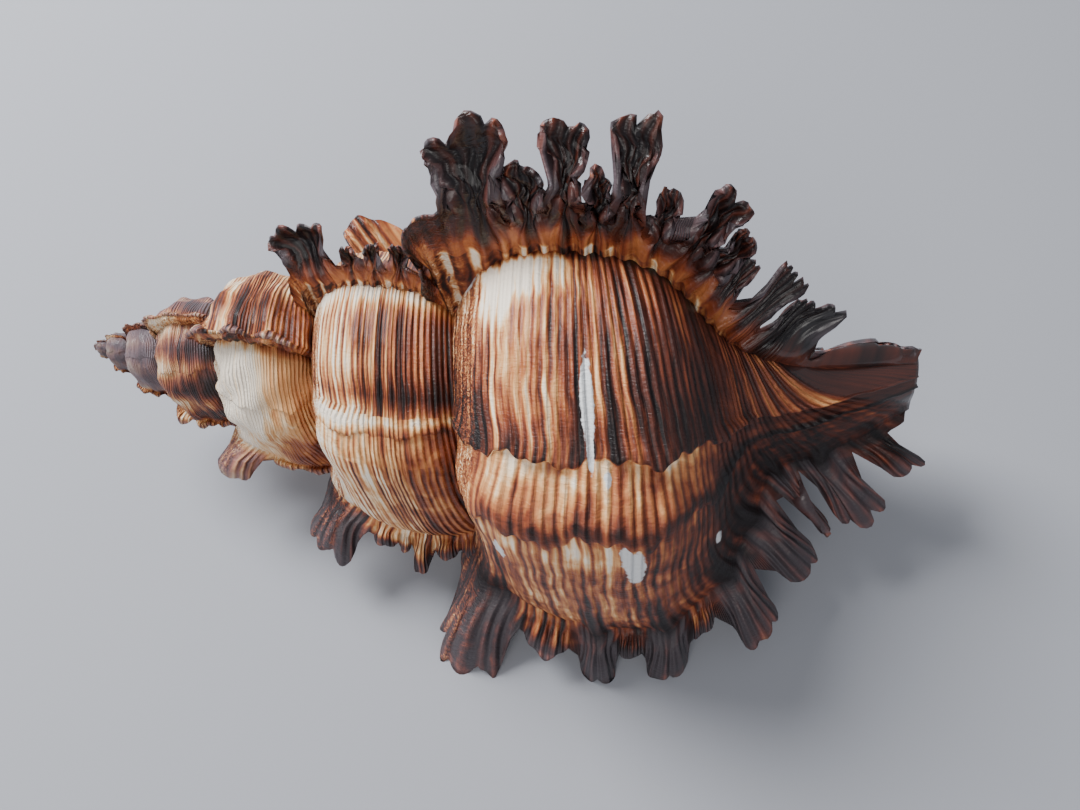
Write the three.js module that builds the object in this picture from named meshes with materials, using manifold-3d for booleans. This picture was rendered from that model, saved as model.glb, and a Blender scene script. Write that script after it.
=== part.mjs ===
// A murex shell lying on its aperture, grown stage by stage round one axis.
// Every stage is a closed solid: a third of a whorl that ends in a frilled varix.
// The stages are joined, the aperture is cut out, and the underside is trimmed where it rests.
import * as THREE from "three";
import { mergeVertices } from "three/addons/utils/BufferGeometryUtils.js";
import Module from "manifold-3d";

// Frame while building, in millimetres: +X along the axis from the apex to the canal,
// +Z up, the apex above the origin. An angle is 0 straight up and grows towards -Y.
const LENGTH_TO_CANAL_TIP = 94;
const AXIS_HEIGHT = 17.3;
const LIP_ANGLE = 113;
const VARIX_STEPS = [0, 131, 231];
const STAGES = 17;
const STAGE_OVERLAP = 3;
const ROW_GAP = 0.006;

// Growth, by whorls before the lip: widest radius, place of the suture and length of the outline.
const WHORLS = [0, 0.233, 1.233, 2.233, 3.233, 4.233, 5.233, 6.233];
const RADIUS = [23.3, 21.8, 14.7, 10.2, 6.9, 4.0, 2.1, 1.0];
const SUTURE = [51.5, 47.6, 31.2, 18.9, 11.2, 6.4, 3.2, 1.2];
const OUTLINE_SCALE = [1, 0.94, 0.66, 0.45, 0.29, 0.18, 0.11, 0.06];
const WHORL_LEAN = 1.5;
const WHORL_LEAN_ANGLE = 125;

// Outline of the body whorl at the lip: distance past the suture, radius.
const OUTLINE = [
  [-2, 9.5],
  [0, 13.5],
  [1.5, 17],
  [4, 20.3],
  [8, 22.6],
  [13, 23.3],
  [18, 23.1],
  [22, 21.6],
  [25.3, 18.1],
  [28, 12.9],
  [30.8, 9],
  [34.2, 6.3],
  [37.8, 4.7],
  [41.2, 3.2],
];
const AXIAL = new THREE.Vector3(1, 0, 0);
const CANAL_STARTS = 24;
const CANAL_BEND_FROM = 64;
const CANAL_BEND_OVER = 30;
const CANAL_BEND = { y: 6, z: 2 };
// On the lip's side the canal starts with a waist.
const LIP_WAIST = { share: 0.32, at: 0.77, over: 0.08 };
const SPIRE_BOW = { y: 1.2, at: 22, over: 10 };

// Varix: how far it swells over the whorl, how thick its frill is, and the knob between two varices.
const VARIX_SWELL = 1.5;
const FRILL_FOOT = 1.1;
const FRILL_EDGE = 0.5;
const BUTTRESS = { at: 0.15, over: 0.06 };
const KNOB = { height: 0.9, at: 0.6, width: 0.08 };

// Fronds: place on the outline (0 suture, 1 canal tip), half width on it, length in mm, lean towards
// the canal, lean back from the lip, curl in radians, width at the stalk and the fan, fingers.
const LIP_FRONDS = [
  [0.185, 0.058, 12.5, -0.12, -0.03, 0.9, 0.8, 1.2, 4],
  [0.305, 0.026, 4.8, 0, 0.1, 0.8, 0.9, 1.0, 1],
  [0.39, 0.034, 6.8, 0.1, -0.5, 0.9, 0.8, 1.2, 2],
  [0.448, 0.022, 3.5, 0, 0.1, 0.8, 0.9, 1.0, 1],
  [0.505, 0.034, 7, 0, -0.5, 0.9, 0.8, 1.2, 2],
  [0.563, 0.02, 4, 0, 0.1, 0.8, 0.9, 1.0, 1],
  [0.622, 0.03, 8.6, 0.25, -0.05, 0.9, 0.8, 1.25, 3],
  [0.695, 0.024, 7.6, 0.5, 0, 0.9, 0.85, 1.2, 2],
  [0.775, 0.02, 8.2, 0.6, 0.05, 0.8, 0.9, 1.4, 2],
  [0.86, 0.021, 8.4, 0.7, 0.05, 0.8, 0.9, 1.5, 3],
  [0.93, 0.02, 5.6, 1.0, 0.05, 0.8, 0.9, 1.4, 2],
];
const TOP_FRONDS = [
  [0.235, 0.044, 13, 0.12, 0.3, 1.6, 0.62, 2.3, 3],
  [0.31, 0.028, 7.6, 0, 0.3, 1.3, 0.8, 1.5, 2],
  [0.37, 0.032, 11.2, 0, 0.45, 1.6, 0.75, 1.7, 2],
  [0.422, 0.024, 7, 0, 0.3, 1.3, 0.8, 1.3, 2],
  [0.468, 0.032, 12, -0.05, 0.45, 1.6, 0.75, 1.9, 2],
  [0.512, 0.024, 7, 0, 0.3, 1.3, 0.8, 1.3, 2],
  [0.55, 0.03, 9, 0.3, 0.2, 1.4, 0.75, 2.1, 2],
  [0.6, 0.028, 6.5, 0.4, 0.1, 1.3, 0.8, 1.5, 2],
  [0.66, 0.03, 6.5, 0.1, 0.4, 0.6, 0.9, 1.9, 5],
  [0.725, 0.03, 7.5, 0.6, 0.4, 0.6, 0.9, 2.0, 5],
  [0.785, 0.028, 6, 0.9, 0.4, 0.6, 0.9, 1.7, 5],
  [0.93, 0.04, 0.8, 0.1, 0.5, 0.6, 1, 1.0, 1],
];
const FAR_FRONDS = [
  [0.165, 0.1, 6.6, -1.9, -0.8, 0.4, 1.0, 1.0, 1],
  [0.29, 0.026, 6, 0, 0.9, 0.8, 0.8, 1.0, 1],
  [0.375, 0.036, 11.2, 0, 0.95, 0.8, 0.75, 1.05, 2],
  [0.44, 0.022, 5, 0, 0.5, 0.8, 0.9, 1.0, 1],
  [0.505, 0.036, 11, 0, 0.95, 0.8, 0.75, 1.1, 2],
  [0.565, 0.022, 5, 0, 0.5, 0.8, 0.9, 1.0, 1],
  [0.635, 0.034, 8, 0.05, 0.4, 0.8, 0.75, 1.1, 2],
  [0.73, 0.026, 6, 0.1, 0.3, 0.8, 0.8, 1.1, 2],
  [0.81, 0.024, 5, 0.2, 0.3, 0.8, 0.8, 1.1, 2],
  [0.89, 0.024, 3.5, 0.2, 0.3, 0.8, 0.8, 1.1, 2],
];
const SPIRE_FRONDS = [
  [0.185, 0.058, 7.2, -0.25, 0.1, 1.1, 0.75, 1.15, 3],
  [0.29, 0.03, 3.4, 0, 0.1, 0.9, 0.8, 1.0, 1],
  [0.365, 0.03, 3.8, 0, 0.1, 1.2, 0.7, 1.05, 2],
  [0.44, 0.03, 4.4, 0, 0.1, 1.2, 0.7, 1.1, 2],
  [0.52, 0.03, 4.4, 0, 0.1, 1.2, 0.7, 1.1, 2],
  [0.61, 0.03, 2, 0, 0.1, 0.8, 0.9, 1.0, 1],
];
const SPIRE_TOP_FRONDS = [
  [0.225, 0.065, 8.2, -0.3, 0.3, 1.2, 1.0, 1.9, 4],
  [0.315, 0.026, 4.2, 0, 0.2, 1.3, 0.7, 1.0, 2],
  [0.375, 0.028, 4.4, 0, 0.3, 1.4, 0.7, 1.1, 2],
  [0.44, 0.03, 4.6, 0, 0.3, 1.4, 0.7, 1.1, 2],
  [0.52, 0.034, 5.6, 0.2, 0.3, 1.4, 0.7, 1.2, 2],
  [0.61, 0.03, 2, 0, 0.1, 0.8, 0.9, 1.0, 1],
];
const KNOB_FRONDS = [
  [0.185, 0.07, 3.6, -0.1, 0.1, 0.6, 1, 1, 1],
  [0.34, 0.05, 1.8, 0, 0.1, 0.5, 1, 1, 1],
  [0.5, 0.06, 1.8, 0, 0.1, 0.5, 1, 1, 1],
];

// Varices from the lip back: fronds, height of the web between them, and buttress of the shoulder frond.
const VARICES = [
  { fronds: LIP_FRONDS, web: 3.6, buttress: 0 },
  { fronds: TOP_FRONDS, web: 4.2, buttress: 4.5 },
  { fronds: FAR_FRONDS, web: 3, buttress: 0 },
  { fronds: SPIRE_FRONDS, web: 2.2, buttress: 0 },
  { fronds: SPIRE_TOP_FRONDS, web: 1.6, buttress: 2.5 },
  { fronds: SPIRE_FRONDS, web: 1.8, buttress: 0 },
];
const OLD_VARIX = { fronds: KNOB_FRONDS, web: 1.2, buttress: 0 };

// Columella: where it starts and ends on the axis, its steps, and its radius as a share of the distance.
const COLUMELLA = { from: 5, to: 41, step: 4, slope: 0.2 };

// Aperture: an egg-shaped hollow in the lip plane that narrows as it runs back into the body whorl.
const APERTURE = { x: 64, radius: 12.8, halfLength: 10.5, halfWidth: 7.6 };
const APERTURE_RUNS_OUT = 30;
const APERTURE_RUNS_IN = 115;
const CANAL_SLIT = { from: 72, to: 91, width: 1.6, depth: 2.2, radius: 3.4 };

const { Manifold, Mesh: ManifoldMesh } = await loadManifold();

async function loadManifold() {
  const library = await Module();
  library.setup();
  return library;
}

function smooth(from, to, value) {
  const t = Math.min(Math.max((value - from) / (to - from), 0), 1);
  return t * t * (3 - 2 * t);
}

function hump(centre, halfWidth, value) {
  return Math.exp(-(((value - centre) / halfWidth) ** 2));
}

function interpolate(value, places, heights) {
  const last = places.length - 1;
  if (value <= places[0]) return heights[0];
  if (value >= places[last]) return heights[last];
  const i = places.findIndex((place) => place > value) - 1;
  const share = (value - places[i]) / (places[i + 1] - places[i]);
  return heights[i] + share * (heights[i + 1] - heights[i]);
}

// Growth is exponential between the whorls that were measured.
function grown(turns, sizes) {
  return Math.exp(interpolate(turns, WHORLS, sizes.map(Math.log)));
}

const turnsBeforeLip = (angle) => (LIP_ANGLE - angle) / 360;
const radiusScale = (angle) => grown(turnsBeforeLip(angle), RADIUS) / RADIUS[0];
const varixAngle = (i) => LIP_ANGLE - 360 * Math.floor(i / 3) - VARIX_STEPS[i % 3];

// The outline as a smooth curve, sampled evenly by length.
const outlineCurve = new THREE.SplineCurve(OUTLINE.map(([x, r]) => new THREE.Vector2(x, r)));
outlineCurve.arcLengthDivisions = 800;
const outlineLength = outlineCurve.getLength();

// Place along the axis and radius of the whorl at a share of the outline.
function section(share, angle) {
  const turns = turnsBeforeLip(angle);
  const scale = grown(turns, OUTLINE_SCALE);
  const suture = grown(turns, SUTURE);
  const point = outlineCurve.getPointAt(Math.min(Math.max(share, 0), 1));
  const end = OUTLINE[OUTLINE.length - 1][0];
  const young = 1 - smooth(0.85, 1.2, turns);
  const drawnOut = smooth(CANAL_STARTS, end + 0.5, point.x) * young;
  const reach = (LENGTH_TO_CANAL_TIP - suture - end * scale) * drawnOut;
  const turned = Math.cos(THREE.MathUtils.degToRad(angle - WHORL_LEAN_ANGLE));
  const lean = -WHORL_LEAN * scale * turned * (1 - smooth(CANAL_STARTS, 40, point.x));
  const nearLip = smooth(-10, 80, angle) * young;
  const waist = 1 - LIP_WAIST.share * hump(LIP_WAIST.at, LIP_WAIST.over, share) * nearLip;
  return { x: suture + point.x * scale + reach + lean, radius: point.y * waist * radiusScale(angle) };
}

function radialAt(angle) {
  const a = THREE.MathUtils.degToRad(angle);
  return new THREE.Vector3(0, -Math.sin(a), Math.cos(a));
}

function growthAt(angle) {
  const a = THREE.MathUtils.degToRad(angle);
  return new THREE.Vector3(0, -Math.cos(a), -Math.sin(a));
}

// A point of the whorl with its outward normal and the direction along the outline.
function whorlPoint(share, angle) {
  const step = 0.004;
  const here = section(share, angle);
  const after = section(Math.min(share + step, 1), angle);
  const before = section(Math.max(share - step, 0), angle);
  const slope = new THREE.Vector2(after.x - before.x, after.radius - before.radius).normalize();
  const radial = radialAt(angle);
  return {
    point: new THREE.Vector3(here.x, 0, 0).addScaledVector(radial, here.radius),
    normal: AXIAL.clone().multiplyScalar(-slope.y).addScaledVector(radial, slope.x),
    along: AXIAL.clone().multiplyScalar(slope.x).addScaledVector(radial, slope.y),
    growth: growthAt(angle),
    radial,
  };
}

// The frond that owns a share of the outline, with the share's place across it, from -1 to 1.
function frondAt(share, fronds) {
  const borders = fronds.slice(1).map(([at, half], i) => (fronds[i][0] + fronds[i][1] + at - half) / 2);
  const found = borders.findIndex((border) => border > share);
  const k = found < 0 ? fronds.length - 1 : found;
  const [at, half, length, lean, back, curl, stalk, fan, fingers] = fronds[k];
  const low = k === 0 ? at - half : borders[k - 1];
  const high = k === fronds.length - 1 ? at + half : borders[k];
  const side = share < at ? at - low : high - at;
  const across = Math.min(Math.max((share - at) / side, -1), 1);
  return { length, lean, back, curl, stalk, fan, fingers, across, side };
}

// How far a varix stands over the whorl: less along the canal, more under its big shoulder frond.
function varixSwell(share, varix) {
  const buttress = varix.buttress * hump(BUTTRESS.at, BUTTRESS.over, share);
  return VARIX_SWELL * (1 - 0.5 * smooth(0.66, 0.8, share)) + buttress;
}

// A point of the frill at a share of the outline, from its foot (rise 0) to its edge (rise 1).
function frillPoint(share, rise, angle, varix, scale) {
  const base = whorlPoint(share, angle);
  const frond = frondAt(share, varix.fronds);
  const q = frond.across;
  const length = frond.length * scale;
  const web = Math.min(varix.web * scale * (1 - 0.75 * smooth(0.63, 0.72, share)), 0.7 * length);
  const finger = Math.sqrt(Math.abs(Math.sin((Math.PI / 2) * frond.fingers * (q / 0.72 + 1))));
  const crest = (Math.abs(q) < 0.72 ? 0.78 + 0.22 * finger : 0.78) * (1 - 0.12 * (q / 0.72) ** 2);
  const ends = smooth(0.02, 0.05, share) * smooth(0, 0.02, 0.995 - share);
  const height = (web + (length - web) * (1 - smooth(0.72, 1, Math.abs(q))) * crest) * ends;
  const distance = rise * height;
  const out = Math.min(distance / length, 1);
  const halfWidth = frond.side * outlineLength * scale;
  const { stalk, fan } = frond;
  const spread = 1 + (stalk - 1) * smooth(0, 0.45, out) + (fan - stalk) * smooth(0.45, 1, out);
  const curl = frond.curl * smooth(0, 0.3, out) * (1 - 0.8 * smooth(0.55, 1, out)) + 0.001;
  const bendRadius = (halfWidth * spread) / curl;
  const keep = 1 - q ** 4;
  const sideways = (bendRadius * Math.sin(curl * q) - q * halfWidth) * keep;
  const hollow = -bendRadius * (Math.cos(curl * q) - Math.cos(curl)) * smooth(0, 0.5, out) * keep;
  const ray = base.normal.clone().multiplyScalar(0.35).addScaledVector(base.radial, 0.65).normalize();
  return base.point
    .addScaledVector(base.normal, varixSwell(share, varix) * radiusScale(angle))
    .addScaledVector(ray, distance)
    .addScaledVector(base.along, sideways)
    .addScaledVector(AXIAL, frond.lean * distance)
    .addScaledVector(base.growth, 0.45 * distance - frond.back * distance * out + hollow);
}

// The whorl's surface between two varices: it swells before the varix and has one knob on the shoulder.
function surfacePoint(share, angle, start, end, varix) {
  const base = whorlPoint(share, angle);
  const scale = radiusScale(end);
  const grownShare = (angle - start) / (end - start);
  const swell = varixSwell(share, varix) * scale * smooth(0.76, 1, grownShare);
  const bump = hump(KNOB.at, KNOB.width, grownShare);
  const shoulder = smooth(0.06, 0.2, share) * (1 - smooth(0.45, 0.7, share));
  return base.point.addScaledVector(base.normal, swell + KNOB.height * scale * bump * shoulder);
}

// The canal curves away from the lip and the spire is slightly bowed.
function bent(point) {
  const s = Math.min(Math.max((point.x - CANAL_BEND_FROM) / CANAL_BEND_OVER, 0), 1.2);
  const bow = SPIRE_BOW.y * hump(SPIRE_BOW.at, SPIRE_BOW.over, point.x);
  return point.clone().add(new THREE.Vector3(0, CANAL_BEND.y * s * s + bow, CANAL_BEND.z * s * s));
}

// Turns rows of points into one closed mesh: columns wrap round, and both end rows are closed
// to the last column of the row.
function closedGrid(rows) {
  const columns = rows[0].length;
  const positions = rows.flat().flatMap((p) => [p.x, p.y, p.z]);
  const index = [];
  for (let i = 0; i + 1 < rows.length; i++) {
    for (let j = 0; j < columns; j++) {
      const a = i * columns + j;
      const b = i * columns + ((j + 1) % columns);
      index.push(a, b, b + columns, a, b + columns, a + columns);
    }
  }
  const top = (rows.length - 1) * columns;
  for (let j = 0; j < columns - 2; j++) {
    index.push(columns - 1, j + 1, j);
    index.push(top + columns - 1, top + j, top + j + 1);
  }
  const geometry = new THREE.BufferGeometry();
  geometry.setAttribute("position", new THREE.Float32BufferAttribute(positions, 3));
  geometry.setIndex(index);
  return geometry;
}

function solidOf(geometry) {
  const bare = geometry.clone();
  bare.deleteAttribute("normal");
  bare.deleteAttribute("uv");
  const merged = mergeVertices(bare, 1e-4);
  const vertProperties = merged.attributes.position.array;
  const triVerts = new Uint32Array(merged.index.array);
  const solid = new Manifold(new ManifoldMesh({ numProp: 3, vertProperties, triVerts }));
  if (solid.volume() > 0) return solid;
  triVerts.reverse();
  return new Manifold(new ManifoldMesh({ numProp: 3, vertProperties, triVerts }));
}

// Rows of a stage: three across a short frond, five across a fingered one, and both ends of the outline.
function rowShares(fronds, end) {
  const shares = [0, 0.06];
  for (const frond of fronds) {
    const [at, half] = frond;
    const fingers = frond[frond.length - 1];
    const places = fingers > 1 ? [-0.95, -0.6, 0, 0.6, 0.95] : [-0.9, 0, 0.9];
    for (const place of places) shares.push(at + half * place);
  }
  shares.push(end);
  return shares.sort((a, b) => a - b).filter((share, i, all) => i === 0 || share - all[i - 1] > ROW_GAP);
}

// One growth stage, closed along the axis.
function growthStage(stage) {
  const end = varixAngle(stage);
  const start = varixAngle(stage + 1) - STAGE_OVERLAP;
  const varix = VARICES[stage] ?? OLD_VARIX;
  const whole = turnsBeforeLip(end) < 0.9;
  const scale = stage < 3 ? 1 : radiusScale(end) / radiusScale(LIP_ANGLE - 360);
  const steps = stage < 3 ? 6 : stage < 6 ? 4 : 3;
  const rises = stage < 3 ? [0, 0.5, 1] : [0, 1];
  const shares = rowShares(varix.fronds, whole ? 1 : 0.74);
  const rows = shares.map((share) => {
    const row = [];
    for (let k = 0; k < steps; k++) {
      row.push(surfacePoint(share, start + ((end - start) * k) / steps, start, end, varix));
    }
    const back = rises.map((rise) => frillPoint(share, rise, end, varix, scale));
    const growth = growthAt(end);
    const front = back.map((p, k) => {
      const thick = (FRILL_FOOT * (1 - rises[k]) ** 2 + FRILL_EDGE) * radiusScale(end);
      return p.clone().addScaledVector(growth, thick);
    });
    row.push(...back, ...front.reverse());
    const inward = radialAt((start + end) / 2).multiplyScalar(-0.6 * radiusScale(end));
    row.push(new THREE.Vector3(section(share, end).x, 0, 0).add(inward));
    return row.map(bent);
  });
  return solidOf(closedGrid(rows));
}

// Rings of points closed at both ends by fans.
function tubeThrough(rings) {
  const sides = rings[0].length;
  const positions = rings.flat().flatMap((p) => [p.x, p.y, p.z]);
  const index = [];
  for (let i = 0; i + 1 < rings.length; i++) {
    for (let j = 0; j < sides; j++) {
      const a = i * sides + j;
      const b = i * sides + ((j + 1) % sides);
      index.push(a, b, b + sides, a, b + sides, a + sides);
    }
  }
  const last = (rings.length - 1) * sides;
  for (let j = 1; j < sides - 1; j++) {
    index.push(0, j + 1, j);
    index.push(last, last + j, last + j + 1);
  }
  const geometry = new THREE.BufferGeometry();
  geometry.setAttribute("position", new THREE.Float32BufferAttribute(positions, 3));
  geometry.setIndex(index);
  return geometry;
}

// The hollow of the last whorl, from outside the lip back to a narrow end.
function apertureHollow() {
  const rings = [];
  const sides = 14;
  const steps = 9;
  for (let k = 0; k <= steps; k++) {
    const back = k / steps;
    const angle = LIP_ANGLE + APERTURE_RUNS_OUT - (APERTURE_RUNS_OUT + APERTURE_RUNS_IN) * back;
    const inside = Math.max(LIP_ANGLE - angle, 0) / APERTURE_RUNS_IN;
    const size = 1 - 0.75 * inside ** 2;
    const centre = { x: APERTURE.x - 5 * inside, radius: APERTURE.radius - 1.5 * inside };
    const radial = radialAt(angle);
    const ring = [];
    for (let j = 0; j < sides; j++) {
      const a = (2 * Math.PI * j) / sides;
      const egg = 1 - 0.25 * Math.cos(a);
      const x = centre.x + size * APERTURE.halfLength * Math.cos(a);
      const r = centre.radius + size * APERTURE.halfWidth * egg * Math.sin(a);
      ring.push(new THREE.Vector3(x, 0, 0).addScaledVector(radial, r));
    }
    rings.push(ring);
  }
  return solidOf(tubeThrough(rings));
}

// The narrow slit that runs from the aperture along the canal.
function canalSlit() {
  const growth = growthAt(LIP_ANGLE);
  const radial = radialAt(LIP_ANGLE);
  const rings = [];
  const steps = 5;
  for (let k = 0; k <= steps; k++) {
    const x = CANAL_SLIT.from + ((CANAL_SLIT.to - CANAL_SLIT.from) * k) / steps;
    const corners = [
      [-1, -1],
      [1, -1],
      [1, 4],
      [-1, 4],
    ];
    rings.push(
      corners.map(([side, depth]) =>
        bent(
          new THREE.Vector3(x, 0, 0)
            .addScaledVector(radial, CANAL_SLIT.radius + (side * CANAL_SLIT.width) / 2)
            .addScaledVector(growth, depth * CANAL_SLIT.depth),
        ),
      ),
    );
  }
  return solidOf(tubeThrough(rings));
}

// The columella: the solid pillar on the axis that all whorls wind round.
function columella() {
  const rings = [];
  const sides = 8;
  for (let x = COLUMELLA.from; x <= COLUMELLA.to; x += COLUMELLA.step) {
    const ring = [];
    for (let j = 0; j < sides; j++) {
      const around = radialAt((360 * j) / sides);
      ring.push(bent(new THREE.Vector3(x, 0, 0).addScaledVector(around, COLUMELLA.slope * x)));
    }
    rings.push(ring);
  }
  return solidOf(tubeThrough(rings));
}

// Everything under the surface that the shell lies on.
function ground() {
  const size = 300;
  return solidOf(new THREE.BoxGeometry(size, size, size).translate(0, 0, -size / 2 - AXIS_HEIGHT));
}

function shellSolid() {
  let whole = columella();
  for (let stage = 0; stage < STAGES; stage++) whole = whole.add(growthStage(stage));
  return whole.subtract(apertureHollow()).subtract(canalSlit()).subtract(ground());
}

// The joined solid as a three.js geometry, its origin under the middle of its box.
function geometryOf(solid) {
  const mesh = solid.getMesh();
  const geometry = new THREE.BufferGeometry();
  const stride = mesh.numProp;
  const positions = new Float32Array(mesh.numVert * 3);
  for (let i = 0; i < mesh.numVert; i++) {
    positions.set(mesh.vertProperties.subarray(i * stride, i * stride + 3), i * 3);
  }
  geometry.setAttribute("position", new THREE.BufferAttribute(positions, 3));
  geometry.setIndex(new THREE.BufferAttribute(mesh.triVerts, 1));
  geometry.computeBoundingBox();
  const { min, max } = geometry.boundingBox;
  geometry.translate(-(min.x + max.x) / 2, -(min.y + max.y) / 2, -min.z);
  return geometry;
}

const shellMaterial = new THREE.MeshStandardMaterial({ color: 0x9a6233, roughness: 0.42, metalness: 0 });

const shell = new THREE.Mesh(geometryOf(shellSolid()), shellMaterial);
shell.name = "murex_shell";

const root = new THREE.Group();
root.add(shell);

export default root;
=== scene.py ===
# %% [markdown]
# # A murex shell, grown in code
# A snail builds its shell by adding to the lip, so everything on it can be placed with two numbers:
# how far along the outline of the whorl a point lies, and at which angle it was built.
# This lesson grows the surface from those two numbers, then colours it in the same terms.

import math

import bpy
import numpy as np
from mathutils import Matrix, Vector


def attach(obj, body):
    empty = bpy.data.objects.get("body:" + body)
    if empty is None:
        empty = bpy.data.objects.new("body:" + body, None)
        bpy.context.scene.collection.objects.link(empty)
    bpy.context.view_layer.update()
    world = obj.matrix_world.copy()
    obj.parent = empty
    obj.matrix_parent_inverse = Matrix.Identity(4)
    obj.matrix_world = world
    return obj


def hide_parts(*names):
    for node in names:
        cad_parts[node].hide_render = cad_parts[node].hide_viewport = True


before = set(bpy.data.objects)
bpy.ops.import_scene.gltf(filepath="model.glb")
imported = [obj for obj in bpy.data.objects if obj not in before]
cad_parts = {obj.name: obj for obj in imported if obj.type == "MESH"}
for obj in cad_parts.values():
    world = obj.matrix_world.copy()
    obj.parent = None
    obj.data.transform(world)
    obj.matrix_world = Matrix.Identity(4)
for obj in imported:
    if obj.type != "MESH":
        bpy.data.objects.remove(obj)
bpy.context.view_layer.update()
print("solid pieces:", list(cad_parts))

# %% [markdown]
# ## How the shell grows
# The animal coils round one axis and grows at a steady rate, so radius and spacing follow an
# exponential law. A shell could be sculpted, but a law keeps every later detail in step with the
# growth. A few measured whorls fix it, and values between them are blended in their logarithms.
# Lengths are millimetres, +X runs from the apex to the canal tip, and an angle is 0 straight up
# and grows towards the viewer.

# %% Growth
LIP_ANGLE = 113
# The three varices of a whorl, in degrees back from the newest. Two of the old ones came late.
VARIX_STEPS = [0, 131, 231]
LATE_VARICES = {7: 33, 10: 14}
# Stages 0 to 2 make the body whorl, and the spire is what lies behind them.
BODY_STAGES = 3
LENGTH_TO_CANAL_TIP = 94
# Measured whorls: turns before the lip, then radius, place of the suture and size of the outline.
WHORLS = np.array([0, 0.233, 1.233, 2.233, 3.233, 4.233, 5.233, 6.233, 7.2])
RADIUS = np.array([23.3, 21.8, 14.7, 10.2, 6.9, 4.0, 2.1, 1.0, 0.4])
SUTURE = np.array([51.5, 47.6, 31.2, 18.9, 11.2, 6.4, 3.2, 1.5, 0.9])
OUTLINE_SCALE = np.array([1, 0.94, 0.66, 0.45, 0.29, 0.18, 0.11, 0.06, 0.03])
# From this growth frame to the frame of the solid.
TO_OBJECT = np.array([-49.341, 2.043, 17.3])


def smooth(low, high, value):
    """Runs from 0 at low to 1 at high: t squared times (3 - 2t)."""
    t = np.clip((value - low) / (high - low), 0, 1)
    return t * t * (3 - 2 * t)


def fall(low, high, value):
    """The other way round: 1 at low and 0 at high."""
    return 1 - smooth(low, high, value)


def hump(centre, half_width, value):
    """A bell: e to the minus ((value - centre) / half_width) squared."""
    return np.exp(-(((value - centre) / half_width) ** 2))


def waves(count, value, phase=0):
    """A sine with count waves for every unit of the value, moved on by a phase in radians."""
    return np.sin(2 * np.pi * count * value + phase)


def crests(count, value, phase=0):
    """The same as a cosine, so that a crest stands at 0."""
    return np.cos(2 * np.pi * count * value + phase)


def grown(turns, sizes):
    """A size after some turns: straight lines between the logarithms of the measured whorls."""
    return np.exp(np.interp(turns, WHORLS, np.log(sizes)))


def turns_before_lip(angle):
    """Degrees back from the lip, over 360."""
    return (LIP_ANGLE - angle) / 360


def radius_scale(angle):
    """The radius as a share of the radius at the lip."""
    return grown(turns_before_lip(angle), RADIUS) / RADIUS[0]


def varix_angle(i):
    """A whole turn back for every three varices, then the step within the whorl."""
    return LIP_ANGLE - 360 * (i // 3) - VARIX_STEPS[i % 3] + LATE_VARICES.get(i, 0)


print("varices at", [varix_angle(i) for i in range(6)])

# %% [markdown]
# ## The outline of a whorl
# Seen from the side, a whorl starts steeply at the suture, swells to its widest place and narrows
# into the canal. It bends everywhere, so a smooth curve through fourteen points draws it. A share
# from 0 to 1 of its length names a place on it, and follows one spiral cord round the whole shell.

# %% Outline
OUTLINE = np.array(
    [
        (-2, 9.5),
        (0, 13.5),
        (1.5, 17),
        (4, 20.3),
        (8, 22.6),
        (13, 23.3),
        (18, 23.1),
        (22, 21.6),
        (25.3, 18.1),
        (28, 12.9),
        (30.8, 9),
        (34.2, 6.3),
        (37.8, 4.7),
        (41.2, 3.2),
    ]
)


def curve_through(points, per_span):
    """Catmull-Rom spans: each is cubic, with half the chord of its neighbours as slope."""
    p = np.vstack([points[:1], points, points[-1:]])
    t = np.linspace(0, 1, per_span, endpoint=False)[:, None, None]
    a, b, c, d = p[:-3], p[1:-2], p[2:-1], p[3:]
    spans = 2 * b + (c - a) * t + (2 * a - 5 * b + 4 * c - d) * t**2 + (3 * b - a - 3 * c + d) * t**3
    return np.vstack([0.5 * spans.transpose(1, 0, 2).reshape(-1, 2), points[-1:]])


outline_points = curve_through(OUTLINE, 60)
steps_along = np.hypot(*np.diff(outline_points, axis=0).T)
outline_share = np.concatenate([[0], np.cumsum(steps_along)])
OUTLINE_LENGTH = outline_share[-1]
outline_share /= OUTLINE_LENGTH
print("outline length %.1f mm" % OUTLINE_LENGTH)

# %% [markdown]
# ## A point on a whorl
# The outline turns round the axis and shrinks towards the apex, and on the newest whorl its front
# is drawn out into the canal. Written as a function of share and angle it also gives the normal and
# the direction along the outline, and every relief and frond is laid along those.

# %% Whorl
WHORL_LEAN, WHORL_LEAN_ANGLE = 1.5, 125
CANAL_STARTS = 24
# The waist behind the canal: how deep, at which share, and its half width.
LIP_WAIST, WAIST_AT, WAIST_WIDTH = 0.32, 0.77, 0.08
# Cords slant towards the tip: on the canal until the lip, on the body until the growth stop.
CANAL_SLANT, BODY_SLANT, BODY_SLANT_OVER = 0.28, 0.09, 90
TOP_VARIX_ANGLE, STOP_ANGLE = LIP_ANGLE - VARIX_STEPS[1], 41
CANAL_BEND_FROM, CANAL_BEND_OVER, CANAL_BEND_Y, CANAL_BEND_Z = 64, 30, 6, 2
SPIRE_BOW, SPIRE_BOW_AT, SPIRE_BOW_WIDTH = 1.2, 22, 10
SLOPE_STEP = 0.003


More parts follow.
